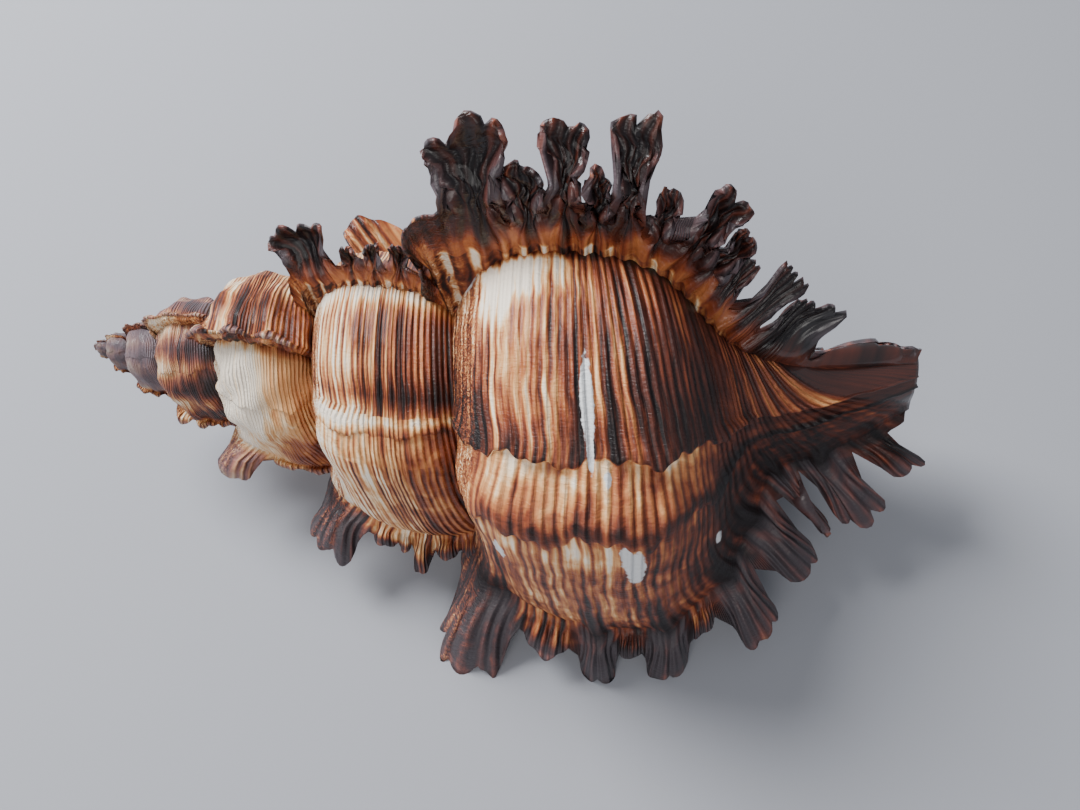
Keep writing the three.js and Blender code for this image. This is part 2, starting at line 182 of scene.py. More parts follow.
def section(share, angle):
    """Place along the axis and radius: the outline scaled by growth, its front drawn out to the tip."""
    turns = turns_before_lip(angle)
    scale, suture = grown(turns, OUTLINE_SCALE), grown(turns, SUTURE)
    x = np.interp(share, outline_share, outline_points[:, 0])
    radius = np.interp(share, outline_share, outline_points[:, 1])
    newest = fall(0.85, 1.2, turns)
    drawn_out = smooth(CANAL_STARTS, OUTLINE[-1, 0] + 0.5, x) * newest
    reach = (LENGTH_TO_CANAL_TIP - suture - OUTLINE[-1, 0] * scale) * drawn_out
    before_canal = fall(CANAL_STARTS, 40, x)
    lean = -WHORL_LEAN * scale * np.cos(np.radians(angle - WHORL_LEAN_ANGLE)) * before_canal
    waist = 1 - LIP_WAIST * hump(WAIST_AT, WAIST_WIDTH, share) * smooth(-10, 80, angle) * newest
    return suture + x * scale + reach + lean, radius * waist * radius_scale(angle)


def cord_share(share, angle):
    """Which cord runs here: the share, moved on by the slants, because the shell gets longer."""
    before_stop = (STOP_ANGLE - np.clip(angle, TOP_VARIX_ANGLE, STOP_ANGLE)) / BODY_SLANT_OVER
    before_lip = np.clip((LIP_ANGLE - angle) / VARIX_STEPS[1], 0, 1)
    slanted = share + CANAL_SLANT * before_lip**2 * smooth(0.68, 0.88, share)
    return slanted + BODY_SLANT * before_stop * smooth(0.33, 0.48, share) * fall(0.6, 0.8, share)


def radial_at(angle):
    """Directions away from the axis: minus the sine along y, the cosine along z."""
    a = np.radians(angle)
    return np.stack([0 * a, -np.sin(a), np.cos(a)], -1)


def growth_at(angle):
    """Directions of growth, a quarter turn on: minus the cosine along y, minus the sine along z."""
    a = np.radians(angle)
    return np.stack([0 * a, -np.cos(a), -np.sin(a)], -1)


AXIAL = np.array([1.0, 0, 0])


def whorl(share, angle):
    """Point, outward normal and direction along the outline, from the slope of the outline nearby."""
    x, radius = section(share, angle)
    x1, r1 = section(np.clip(share + SLOPE_STEP, 0, 1), angle)
    x0, r0 = section(np.clip(share - SLOPE_STEP, 0, 1), angle)
    length = np.hypot(x1 - x0, r1 - r0)
    sx, sr = ((x1 - x0) / length)[..., None], ((r1 - r0) / length)[..., None]
    radial = radial_at(angle)
    point = x[..., None] * AXIAL + radius[..., None] * radial
    return point, sx * radial - sr * AXIAL, sx * AXIAL + sr * radial


def bent(p):
    """The canal curves away with the square of the distance, and the spire is slightly bowed."""
    s = np.clip((p[..., 0] - CANAL_BEND_FROM) / CANAL_BEND_OVER, 0, 1.2)
    q = p.copy()
    q[..., 1] += CANAL_BEND_Y * s**2 + SPIRE_BOW * hump(SPIRE_BOW_AT, SPIRE_BOW_WIDTH, p[..., 0])
    q[..., 2] += CANAL_BEND_Z * s**2
    return q


print("radius at the shoulder of the lip: %.1f mm" % section(0.3, LIP_ANGLE)[1])

# %% [markdown]
# ## Fronds
# At each varix the lip flares into a frill, and at the stronger cords the frill runs out into
# fronds: half tubes, open towards the growing side, that spread and split into fingers.
# No two are alike, so each is one row of a table: place on the outline, half width on it, length,
# lean towards the canal, lean back, curl in radians, width at the stalk, width at the fan, fingers.

# %% Frond tables
LIP_FRONDS = [
    (0.185, 0.058, 11.8, 0, -0.03, 0.9, 0.8, 1.2, 4),
    (0.305, 0.026, 4.8, 0, 0.1, 0.8, 0.9, 1.0, 1),
    (0.39, 0.034, 6.8, 0.1, -0.5, 0.9, 0.8, 1.2, 2),
    (0.448, 0.022, 3.5, 0, 0.1, 0.8, 0.9, 1.0, 1),
    (0.505, 0.034, 7, 0, -0.5, 0.9, 0.8, 1.2, 2),
    (0.563, 0.02, 4, 0, 0.1, 0.8, 0.9, 1.0, 1),
    (0.622, 0.03, 8.6, 0.25, -0.05, 0.9, 0.8, 1.25, 3),
    (0.695, 0.024, 7.6, 0.5, 0, 0.9, 0.85, 1.2, 2),
    (0.775, 0.02, 8.2, 0.6, 0.05, 0.8, 0.9, 1.4, 2),
    (0.86, 0.021, 8.4, 0.7, 0.05, 0.8, 0.9, 1.5, 3),
    (0.93, 0.02, 5.6, 1.0, 0.05, 0.8, 0.9, 1.4, 2),
]
TOP_FRONDS = [
    (0.235, 0.044, 13, 0.12, 0.3, 1.6, 0.55, 2.4, 3),
    (0.31, 0.028, 7.6, 0, 0.3, 1.3, 0.8, 1.5, 2),
    (0.37, 0.032, 11.2, 0, 0.45, 1.6, 0.5, 2.2, 2),
    (0.422, 0.024, 7, 0, 0.3, 1.3, 0.8, 1.3, 2),
    (0.468, 0.032, 12, -0.05, 0.45, 1.6, 0.5, 2.4, 2),
    (0.512, 0.024, 7, 0, 0.3, 1.3, 0.8, 1.3, 2),
    (0.55, 0.03, 9, 0.3, 0.2, 1.4, 0.75, 2.1, 2),
    (0.6, 0.028, 6.5, 0.4, 0.1, 1.3, 0.8, 1.5, 2),
    (0.66, 0.03, 6.5, 0.1, 0.4, 0.6, 0.9, 1.9, 5),
    (0.725, 0.03, 6.6, 0.55, 0.4, 0.6, 0.9, 2.0, 5),
    (0.785, 0.028, 5, 0.7, 0.4, 0.6, 0.9, 1.7, 5),
    (0.93, 0.04, 0.8, 0.1, 0.5, 0.6, 1, 1.0, 1),
]
FAR_FRONDS = [
    (0.165, 0.1, 6.6, -1.9, -0.8, 0.4, 1.0, 1.0, 1),
    (0.29, 0.026, 6, 0, 0.9, 0.8, 0.8, 1.0, 1),
    (0.375, 0.036, 11.2, 0, 0.95, 0.8, 0.75, 1.05, 2),
    (0.44, 0.022, 5, 0, 0.5, 0.8, 0.9, 1.0, 1),
    (0.505, 0.036, 11, 0, 0.95, 0.8, 0.75, 1.1, 2),
    (0.565, 0.022, 5, 0, 0.5, 0.8, 0.9, 1.0, 1),
    (0.635, 0.034, 8, 0.05, 0.4, 0.8, 0.75, 1.1, 2),
    (0.73, 0.026, 6, 0.1, 0.3, 0.8, 0.8, 1.1, 2),
    (0.81, 0.024, 5, 0.2, 0.3, 0.8, 0.8, 1.1, 2),
    (0.89, 0.024, 3.5, 0.2, 0.3, 0.8, 0.8, 1.1, 2),
]
SPIRE_FRONDS = [
    (0.18, 0.072, 7.2, -0.08, 0.1, 1.1, 0.8, 1.15, 3),
    (0.29, 0.03, 2.6, 0, 0.1, 0.9, 0.8, 1.0, 1),
    (0.345, 0.02, 2.4, 0, 0.1, 0.9, 0.8, 1.0, 1),
    (0.38, 0.025, 4.6, 0, 0.1, 1.2, 0.85, 1.05, 2),
    (0.45, 0.03, 2.6, 0, 0.1, 0.9, 0.8, 1.0, 1),
    (0.51, 0.03, 2.8, 0, 0.1, 0.9, 0.8, 1.0, 1),
    (0.585, 0.032, 5.6, 0, 0.1, 1.2, 0.85, 1.1, 2),
    (0.66, 0.03, 1.5, 0, 0.1, 0.8, 0.9, 1.0, 1),
]
SPIRE_TOP_FRONDS = [
    (0.225, 0.065, 7.0, -0.2, 0.3, 1.2, 1.0, 1.9, 4),
    (0.315, 0.026, 4.2, 0, 0.2, 1.3, 0.7, 1.0, 2),
    (0.375, 0.028, 4.4, 0, 0.3, 1.4, 0.7, 1.1, 2),
    (0.44, 0.03, 4.6, 0, 0.3, 1.4, 0.7, 1.1, 2),
    (0.52, 0.034, 5.6, 0.2, 0.3, 1.4, 0.7, 1.2, 2),
    (0.61, 0.03, 2, 0, 0.1, 0.8, 0.9, 1.0, 1),
]
WORN_FRONDS = [
    (0.2, 0.075, 6.2, -0.35, 0.1, 1.5, 1, 1.2, 1),
    (0.34, 0.05, 1.2, 0, 0.1, 0.5, 1, 1, 1),
    (0.5, 0.06, 1.2, 0, 0.1, 0.5, 1, 1, 1),
]
KNOB_FRONDS = [
    (0.185, 0.07, 3.0, -0.1, 0.1, 0.6, 1, 1, 2),
    (0.34, 0.05, 1.8, 0, 0.1, 0.5, 1, 1, 1),
    (0.5, 0.06, 1.8, 0, 0.1, 0.5, 1, 1, 1),
]
# What differs from varix to varix: frond table, height of the web between fronds, ruffle of the edges.
VARICES = {
    0: (LIP_FRONDS, 3.6, 0.05),
    1: (TOP_FRONDS, 4.2, 0.75),
    2: (FAR_FRONDS, 3.0, 0.15),
    3: (SPIRE_FRONDS, 2.2, 0.1),
    4: (SPIRE_TOP_FRONDS, 1.6, 0.55),
    5: (SPIRE_FRONDS, 1.8, 0.1),
    6: (WORN_FRONDS, 0.8, 0.05),
}
OLD_VARIX = (KNOB_FRONDS, 0.5, 0.1)


def varix_kind(stage):
    """Fronds, web and ruffle of a varix; the oldest ones share one kind."""
    return VARICES.get(stage, OLD_VARIX)


print("varices with their own fronds:", len(VARICES))

# %% [markdown]
# ## The swelling under a frill
# A varix is a thick rib. The big shoulder frond stands on a buttress, the lip is ridged under its
# long fronds, and the old varices are worn down to rows of nodules. Bells and a sine over the share
# are enough for all of them, and rows of points gather where the fronds stand.

# %% Varices
VARIX_SWELL = 1.5
# Two old varices swell more than the rest.
STRONG_SWELLS = {7: 3.4, 10: 3.0}
BUTTRESS = {0: 1.0, 1: 4.5, 3: 2.2, 4: 2.5, 6: 2.4}
BUTTRESS_AT, BUTTRESS_WIDTH = 0.15, 0.06
FROND_RIDGE = 1.3
LONG_FROND = 6
NODULES_FROM, NODULES, NODULE_HEIGHT = 7, 9, 0.6


def row_shares(stage, end, count):
    """Shares of the rows: evenly along the outline, and about twice as close where a frond stands."""
    fine = np.linspace(0, end, 4000)
    weight = np.ones_like(fine)
    for at, half, *_ in varix_kind(stage)[0]:
        weight += 1.1 * (np.abs(fine - at) < half)
    summed = np.concatenate([[0], np.cumsum(weight)[:-1]])
    return np.interp(np.linspace(0, summed[-1], count), summed, fine)


def near_frond(share, stage):
    """1 where a long frond stands, falling to 0 beside it."""
    near = 0 * share
    for at, half, length, *_ in varix_kind(stage)[0]:
        if length > LONG_FROND:
            near = np.maximum(near, hump(at, 0.55 * half, share))
    return near


def varix_swell(share, stage):
    """Height of a varix over the whorl: even, half of it on the canal, with what stands on it added."""
    added = BUTTRESS.get(stage, 0) * hump(BUTTRESS_AT, BUTTRESS_WIDTH, share)
    if stage == 0:
        added = added + FROND_RIDGE * near_frond(share, stage)
    if stage >= NODULES_FROM:
        added = NODULE_HEIGHT * waves(NODULES, share, stage)
    return STRONG_SWELLS.get(stage, VARIX_SWELL) * (1 - 0.5 * smooth(0.66, 0.8, share)) + added


print("tallest buttress: %.1f mm" % max(BUTTRESS.values()))

# %% [markdown]
# ## The frill
# A frond is a flat strip that bends into a half tube at its stalk and opens to a ruffled fan.
# It could be a separate piece that is joined on, but it grew out of the lip. So one function lifts
# the edge of the whorl into web and fronds together, and no seam is needed.

# %% Frill
# Share of a frond's half width that its fingers take up.
FINGERED = 0.72
# Lengths of the waves that ruffle the edges, knot the face and sway the frond.
RUFFLE_WAVE, KNOT_WAVE, SWAY_WAVE = 2.6, 1.9, 3.1
# A frill rises between the normal and the radius, and flares forward with its height.
NORMAL_PART, FLARE = 0.35, 0.45


def frond_at(share, stage):
    """Table row of the frond that owns a share, half its room, and -1 to 1 across that room."""
    table = np.array(varix_kind(stage)[0], float)
    at, half = table[:, 0], table[:, 1]
    borders = (at[:-1] + half[:-1] + at[1:] - half[1:]) / 2
    owner = np.searchsorted(borders, share)
    low = np.concatenate([at[:1] - half[:1], borders])[owner]
    high = np.concatenate([borders, at[-1:] + half[-1:]])[owner]
    side = np.where(share < at[owner], at[owner] - low, high - at[owner])
    return table[owner], side, np.clip((share - at[owner]) / side, -1, 1)


def frill(share, rise, angle, stage, scale):
    """Back face of a frill: rise times height gives the distance, and the frond bends it sideways."""
    frond, side, q = frond_at(share, stage)
    centre, _, length, lean, back, curl, stalk, fan, fingers = np.moveaxis(frond, -1, 0)
    _, web_height, ruffle = varix_kind(stage)
    length = length * scale
    # Height: a toothed web between the fronds, and a rounded top with fingers on each.
    web = np.minimum(web_height * scale * (1 - 0.75 * smooth(0.63, 0.72, share)), 0.7 * length)
    finger = np.sqrt(np.abs(np.sin(np.pi / 2 * fingers * (q / FINGERED + 1))))
    finger = np.where(np.abs(q) < FINGERED, finger, 0)
    body = fall(FINGERED, 1, np.abs(q)) * (0.78 + 0.22 * finger) * (1 - 0.12 * (q / FINGERED) ** 2)
    teeth = 0.03 * waves(30, share) + 0.05 * waves(17.3, share, stage)
    teeth = teeth / (1 + 3 * np.abs(lean))
    ends = smooth(0.02, 0.05, share) * smooth(0, 0.02, 0.995 - share)
    height = (web * (1 + 2 * teeth) + (length - web) * body * (1 + teeth * body)) * ends
    distance = rise * height
    out = np.clip(distance / length, 0, 1)
    # Width and curl: narrow at the stalk, wide at the fan, bent round a radius that grows again.
    half_width = side * OUTLINE_LENGTH * scale
    spread = 1 + (stalk - 1) * smooth(0, 0.45, out) + (fan - stalk) * smooth(0.45, 1, out)
    turn = curl * smooth(0, 0.3, out) * (1 - 0.8 * smooth(0.55, 1, out)) + 1e-3
    bend_radius = half_width * spread / turn
    keep = 1 - q**4
    sideways = (bend_radius * np.sin(turn * q) - q * half_width) * keep
    hollow = -bend_radius * (np.cos(turn * q) - np.cos(turn)) * smooth(0, 0.5, out) * keep
    # Ruffles: sines of the distance, each with a phase of its own on every frond.
    ruffle = ruffle * (1 - 0.8 * smooth(0.62, 0.66, share))
    wave = waves(1 / (RUFFLE_WAVE * scale), distance, 70 * centre + 2 * np.sign(q))
    folds = ruffle * scale * wave * smooth(0.35, 0.85, np.abs(q)) * smooth(0.2, 0.5, out)
    knots = waves(1 / (KNOT_WAVE * scale), distance, 9 * q + 40 * centre)
    folds = folds + 0.22 * ruffle * scale * knots * smooth(0.3, 0.6, out)
    sway = waves(1 / (SWAY_WAVE * scale), distance, 30 * centre)
    sideways = sideways + 0.4 * ruffle * scale * sway * keep * out
    point, normal, along = whorl(share, angle)
    ray = NORMAL_PART * normal + (1 - NORMAL_PART) * radial_at(angle)
    ray /= np.linalg.norm(ray, axis=-1, keepdims=True)
    place = (
        point
        + normal * (varix_swell(share, stage) * radius_scale(angle))[..., None]
        + ray * distance[..., None]
        + along * sideways[..., None]
        + AXIAL * (lean * distance)[..., None]
        + growth_at(angle) * (FLARE * distance - back * distance * out + hollow + folds)[..., None]
    )
    return place, q, out, distance, finger, length / scale


print("longest frond: %.1f mm" % max(row[2] for fronds, _, _ in VARICES.values() for row in fronds))

# %% [markdown]
# ## Relief of the whorl
# Spiral cords run round the whole shell, with narrow grooves between them. Before each varix the
# surface swells. A little past half way between two varices there is a low knob, and where growth
# paused the old edge stands up in a scalloped line, under which the next layer starts lower.
# These are real steps in the shell, so they move the points and aren't left to a bump.

# %% Cords, knobs and growth stops
CORDS = 60
CORD_HEIGHT = 0.07
KNOB_HEIGHT, KNOB_AT, KNOB_WIDTH = 0.9, 0.6, 0.08
# Growth stops of a stage: share of the stage, height of the edge in mm, scallop in shares.
FIRST_STOP, SECOND_STOP = 0.46, 0.6
STOPS = {0: [(FIRST_STOP, 0.7, 0.009), (SECOND_STOP, 0.5, 0.012)], 3: [(0.52, 0.35, 0.006)]}
OTHER_STOPS = [(FIRST_STOP, 0.35, 0.012)]
STOP_SLANT = 0.08
# From this stage back the shell is worn: lumpy between varices, with thick edges and faded fronds.
WORN_FROM = 6


def scallop(share, seed):
    """A wandering line: three sines of the share that don't fit into each other."""
    return (
        waves(6.3, share, seed)
        + 0.6 * waves(14.1, share, 2 * seed)
        + 0.4 * waves(31.7, share, 3 * seed)
    )


def cord_relief(share):
    """Rounded cords: a cosine for the fine cords, and one for the stronger ones four cords apart."""
    fine = crests(CORDS, share)
    strong = crests(CORDS / 4, share, 0.6)
    calm = (0.35 + 0.65 * smooth(0.14, 0.22, share)) * fall(0.98, 1.02, share)
    return CORD_HEIGHT * (0.5 * fine + strong) * calm


def stage_angles(stage, share, count):
    """Angles of the columns, crowded at the growth stops and shifted along their scallops."""
    stops = STOPS.get(stage, OTHER_STOPS)
    near = [at + d for at, _, _ in stops for d in (-0.03, -0.012, -0.003, 0.003, 0.02)]
    part = np.sort(np.concatenate([np.linspace(0, 1, count), near]))
    shift = np.zeros((len(share), len(part)))
    for k, (at, _, wander) in enumerate(stops):
        line = wander * scallop(share, stage + k) + STOP_SLANT * (0.3 - share)
        shift += line[:, None] * hump(at, 0.06, part)[None, :]
    return part[None, :] + shift, part[None, :] + 0 * shift


def bare_foot(share, part):
    """How much of the pale, smooth glaze is left just after a varix: 1 all, 0 none."""
    edge = 0.008 * scallop(share, 1)
    reach = 0.13 + 0.07 * fall(0.2, 0.32, share)
    glaze = smooth(0.05, 0.07, part + edge) * fall(reach - 0.03, reach + 0.05, part + 2 * edge)
    places = [0.15, 0.19, 0.28, 0.32, 0.36, 0.4, 0.43, 0.47, 0.56, 0.62]
    return glaze * np.interp(share, places, [0, 1, 1, 0.55, 0.85, 0.15, 0.1, 0.3, 0.2, 0])


def whorl_relief(share, cords, part, stage, scale):
    """Swell before the varix, knob, growth stops and cords, in mm along the normal."""
    rising = smooth(0.5 if stage in STRONG_SWELLS else 0.76, 1, part)
    if stage == 0:
        rising = np.clip((part - 0.7) / 0.3, 0, 1) ** 2.5
    swell = varix_swell(share, stage) * scale * rising
    shoulder = smooth(0.06, 0.2, share) * fall(0.45, 0.7, share)
    knob = KNOB_HEIGHT * scale * hump(KNOB_AT, KNOB_WIDTH, part) * shoulder
    lift = 0 * part
    if stage >= WORN_FROM:
        lumps = waves(1, 5.2 * share + 1.2 * part) * waves(2.6, part, stage)
        lift = 0.8 * scale * lumps
    for at, height, _ in STOPS.get(stage, OTHER_STOPS):
        before = smooth(at - 0.07, at - 0.003, part) * (part < at)
        after = -0.35 * fall(at + 0.003, at + 0.09, part) * (part >= at)
        strength = 0.55 + 0.45 * waves(5.2, share, at * 9)
        lift = lift + height * scale * (before + after) * strength * smooth(0.03, 0.12, share)
    if stage == 0:
        on_side = smooth(0.15, 0.25, share) * fall(0.5, 0.66, share)
        lift = lift + 0.6 * hump(0.55, 0.045, part) * on_side
    flat = 1 - 0.75 * bare_foot(share, part) if stage < BODY_STAGES else 1
    return swell + knob + lift + cord_relief(cords) * scale * flat


print("cords:", CORDS)

# %% [markdown]
# ## Where the shell is dark and where it is light
# Pigment is laid down at the lip too. It follows the cords, so it makes spiral bands that keep
# their share, and it changes when growth stops, so it also depends on the part of a stage.
# It could be painted in an image, but a tone worked out for every point stays sharp and in step.
# Tone runs from 0, cream, over orange-brown to 1, nearly black. White marks bare and worn places
# and a painted highlight, the long glint on a ridge of the body whorl, and lilac the greyed, older
# whorls.

# %% Bands
# Spiral bands from the suture to the tip: share, tone.
BODY_BANDS = [
    (0, 0.7), (0.1, 0.7), (0.165, 0.6), (0.195, 0.3), (0.235, 0.24), (0.27, 0.4), (0.32, 0.46),
    (0.35, 0.38), (0.378, 0.5), (0.392, 0.8), (0.406, 0.45), (0.43, 0.46), (0.448, 0.88),
    (0.465, 0.56), (0.485, 0.6),
    (0.5, 0.68), (0.512, 0.74), (0.523, 0.88), (0.54, 0.8), (0.552, 0.68), (0.58, 0.84), (0.61, 0.7),
    (0.65, 0.86), (0.7, 0.72), (0.745, 0.6), (0.77, 0.85), (0.8, 0.5), (0.83, 0.88), (0.855, 0.48),
    (0.88, 0.86), (0.91, 0.42), (0.935, 0.85), (0.965, 0.42), (0.985, 0.5), (1, 0.85),
]
SPIRE_BANDS = [
    (0, 0.5), (0.14, 0.5), (0.2, 0.22), (0.3, 0.32), (0.39, 0.4), (0.42, 0.62), (0.45, 0.42), (0.5, 0.68),
    (0.54, 0.5), (0.6, 0.76), (0.74, 0.75),
]
# Worn and bare places, and in the first two rows a worn ridge with a painted highlight along it: share,
# angle, half width in shares, half length in degrees.
BARE_PLACES_AND_GLINT = [
    (0.408, 25, 0.014, 11), (0.409, 36, 0.0065, 7), (0.434, 43, 0.007, 2.5), (0.15, -16, 0.03, 5),
    (0.244, 71, 0.014, 4), (0.462, 62, 0.012, 4), (0.478, 67, 0.017, 7), (0.648, 83, 0.008, 4),
]


def read_bands(share, bands):
    """Straight lines between the listed tones."""
    places, heights = zip(*bands)
    return np.interp(share, places, heights)


print("bands on the body whorl:", len(BODY_BANDS))

# %% [markdown]
# ## The tone of the whorls
# On the body whorl the layer after a growth stop has softer bands, and its edge is pale and lumpy.
# The spire is worn, and each of its whorls shows something of its own. Every such remark is a term
# that is added to the bands, so it can be changed or left out without touching the others.

# %% Tone of the whorls


def body_tone(share, part, stage):
    """Body whorl: its bands, pale after a varix, scaly at the suture, softer after a growth stop."""
    tone = read_bands(share, BODY_BANDS)
    tone -= 0.6 * bare_foot(share, part)
    tone += 0.3 * fall(0.035, 0.06, part + 0.008 * scallop(share, 1))
    scale_line = share + 0.006 * np.sin(40 * part) - 0.03 * smooth(0.14, 0.3, part)
    scaly = fall(0.185, 0.215, scale_line)
    tone = tone * (1 - scaly) + scaly * (0.42 + 0.3 * smooth(0.15, 0.4, part))
    after = (part > FIRST_STOP) * 1.0
    contrast = 0.35 if stage == 0 else 0.7
    tone = tone * (1 - after) + after * (0.43 + contrast * (tone - 0.5))
    on_shoulder = fall(0.42, 0.5, share)
    tone += 0.16 * smooth(0.35, 0.455, part) * (1 - after) * (1 - scaly) * on_shoulder
    lumps = 0.5 + 0.3 * waves(7.5, share, 1) + 0.3 * waves(19, share)
    tone -= 0.28 * after * fall(FIRST_STOP, 0.53, part) * lumps * (share < 0.66)
    tone += 0.3 * hump(0.58, 0.025, part) * smooth(0.2, 0.26, share)
    tone -= 0.3 * (part > SECOND_STOP) * fall(0.605, 0.7, part) * (share < 0.5) * lumps
    return tone + 0.32 * smooth(0.56, 0.7, share) * after


def spire_tone(share, part, stage):
    """Spire: its bands, and what single whorls add to them along the stage."""
    tone = read_bands(share, SPIRE_BANDS)
    if stage == 3:
        tone -= 0.5 * hump(0.06, 0.06, part) + 0.45 * hump(0.47, 0.03, part)
        tone += 0.2 * smooth(0.3, 0.44, part) * (part < 0.44) - 0.1 * (part > 0.52)
    elif stage == 6:
        dark = fall(0.08, 0.12, part + 0.014 * scallop(share, 2))
        tone = 0.4 * tone - 0.13 + dark * (0.3 + 0.14 * waves(NODULES, share))
        tone += 0.2 * smooth(0.4, 0.5, share) + 0.3 * smooth(0.55, 0.9, part) * smooth(0.2, 0.34, share)
    elif stage == 7:
        nodules = 0.7 + 0.4 * waves(NODULES, share, stage)
        tone = 0.6 * tone - 0.08 + 0.3 * hump(0.35, 0.1, share) * smooth(0.4, 0.6, part)
        tone += 0.34 * smooth(0.74, 0.84, part) * nodules
    elif stage >= 8:
        tone += 0.25 * waves(3.1, part, stage) + 0.1
    return tone


def whorl_tone(share, angle, part, stage):
    """Tone, white and lilac: the lip adds its dark stalks and white ellipses for bare places and a
    painted highlight.
    """
    tone = body_tone(share, part, stage) if stage < BODY_STAGES else spire_tone(share, part, stage)
    white = np.full_like(share, -1.0)
    if stage == 0:
        stalk = smooth(0.76, 0.94, part - 0.08 * fall(0.24, 0.3, share))
        tone += 0.08 * (part > 0.66) + 0.55 * near_frond(share, stage) * stalk
        # White ellipses: bare places, and the painted highlight along a ridge of the body whorl.
        for at, turned, width, length in BARE_PLACES_AND_GLINT:
            white = np.maximum(white, 1 - np.hypot((share - at) / width, (angle - turned) / length))
    lilac = smooth(2.9, 3.9, turns_before_lip(angle))
    return tone, white, lilac


print("bare places:", len(BARE_PLACES_AND_GLINT))

# %% [markdown]
# ## The tone of the fronds
# The bands of the whorl run up the web, and the fronds are nearly black. Where a frill shows its
# hollow side, the pigment starts as a ragged, flame-like collar, and small pale teeth sit at its foot.

# %% Tone of the fronds
HOLLOW_SEEN = (1, 4)


def frond_tone(share, across, out, distance, length, stage, front, foot_tone):
    """Hollow side: a collar with flames. Other faces: the foot's tone, darker along long fronds."""
    tip = smooth(0.86, 1.0, out)
    white = np.full_like(out, -1.0)
    lilac = 0 * out
    if front and stage in HOLLOW_SEEN:
        flame = 1 + waves(15, share) + 0.5 * waves(37, share)
        tone = 0.5 + 0.3 * smooth(0.1, 1.7, distance - 0.7 * flame)
        tone = tone + 0.16 * hump(0, 0.35, across) - 0.14 * tip + 0.08 * smooth(0.1, 0.26, out)
        lilac = 0.5 * smooth(0.5, 0.85, np.abs(across)) * smooth(0.3, 0.6, out)
        teeth = crests(27, share) + 0.6 * waves(9.3, share, 2)
        teeth = smooth(0.35, 1.2, teeth - distance / 0.45) * fall(0.6, 0.7, share)
        tone = tone - 0.5 * teeth + 0.3 * smooth(0.72, 0.78, share)
    elif stage == 2 and front:
        tone = 0.42 + 0.15 * crests(CORDS / 2, share)
        tone = tone + 0.4 * smooth(0.27, 0.33, share) + 0.25 * tip
    else:
        worn = stage >= WORN_FROM
        darkens = np.where(length > LONG_FROND, smooth(-0.1, 0.2, out), smooth(0.5, 0.85, out))
        frond = np.maximum(fall(0.75, 0.95, np.abs(across)), smooth(0.12, 0.35, out)) * darkens
        tone = foot_tone * (1 - frond) + (0.55 if worn else 0.88) * frond - 0.22 * tip * frond
        lilac = (0.7 if worn else 0.4) * frond * (0.6 + 0.4 * tip)
    return tone, white, lilac


print("frills that show their hollow side:", HOLLOW_SEEN)

# %% [markdown]
# ## What every point remembers
# A finish has to know where a point lies in the growth. That could be worked out again in the
# shader, but kept as fields of the points it is exact, and every finish can read it.

# %% Fields
FIELDS = ["share", "arc", "part", "rise", "across", "front", "inner", "tone", "white", "lilac", "plain"]
turn_steps = np.linspace(0, 7, 1401)
rounds = 2 * np.pi * grown(turn_steps, RADIUS)[:-1]
arc_steps = np.concatenate([[0], np.cumsum(rounds * np.diff(turn_steps))])


def arc_at(angle):
    """Millimetres grown before the lip: the circumference summed over the turns."""
    return -np.interp(turns_before_lip(angle), turn_steps, arc_steps)


def unit(v):
    """Vectors over their lengths; the tiny number keeps empty ones finite."""
    return v / (np.linalg.norm(v, axis=-1, keepdims=True) + 1e-9)


def field_block(shape, **values):
    """Values of every field over a block of points, 0 where nothing is said."""
    block = np.zeros(shape + (len(FIELDS),))
    for name, value in values.items():
        block[..., FIELDS.index(name)] = value
    return block


print("fields kept for the finishes:", FIELDS)

# %% [markdown]
# ## One growth stage
# A stage is a third of a whorl with its frill. Its points form rows along the growth direction:
# over the whorl, up the back of the frill, down its front, and in to a core at the axis.
# A closed sheet for each stage is simpler than one long strip, because every stage overlaps the last.

# %% Stages
STAGE_OVERLAP = 3
SPIRE_END_SHARE = 0.74
# Thickness of a frill in mm: more at its foot, then an even edge, which is thicker where worn.
FRILL_FOOT, FRILL_EDGE, WORN_EDGE = 1.1, 0.4, 0.9
FLUTE_HEIGHT = 0.35
CORE_RADIUS = 0.6


def plainness(stage):
    """How far the streaks are calmed: on the whitish third whorl and on the oldest stages."""
    return 0.7 if stage == 6 else 0.4 if stage >= 8 else 0


def whorl_points(stage, share, columns, start, end, scale):
    """Outside of a stage with its fields, and the normal and tone of the last column, for the frill."""
    part, even = stage_angles(stage, share, columns)
    angle = start + (end - start) * part
    grid = share[:, None] + 0 * part
    point, normal, _ = whorl(grid, angle)
    cords = cord_share(grid, angle)
    surface = point + normal * whorl_relief(grid, cords, even, stage, scale)[..., None]
    tone, white, lilac = whorl_tone(cords, angle, even, stage)
    bend = 0.02 * smooth(0.35, FIRST_STOP, even) * (even < FIRST_STOP) * hump(0.25, 0.1, grid)
    spout = (cords > 1.0) * 1.0
    place = dict(share=cords - bend, arc=arc_at(angle), part=even, front=spout, plain=plainness(stage))
    fields = field_block(grid.shape, **place, tone=tone, white=white, lilac=lilac)
    return surface, fields, normal[:, -1:], tone[:, -1:]


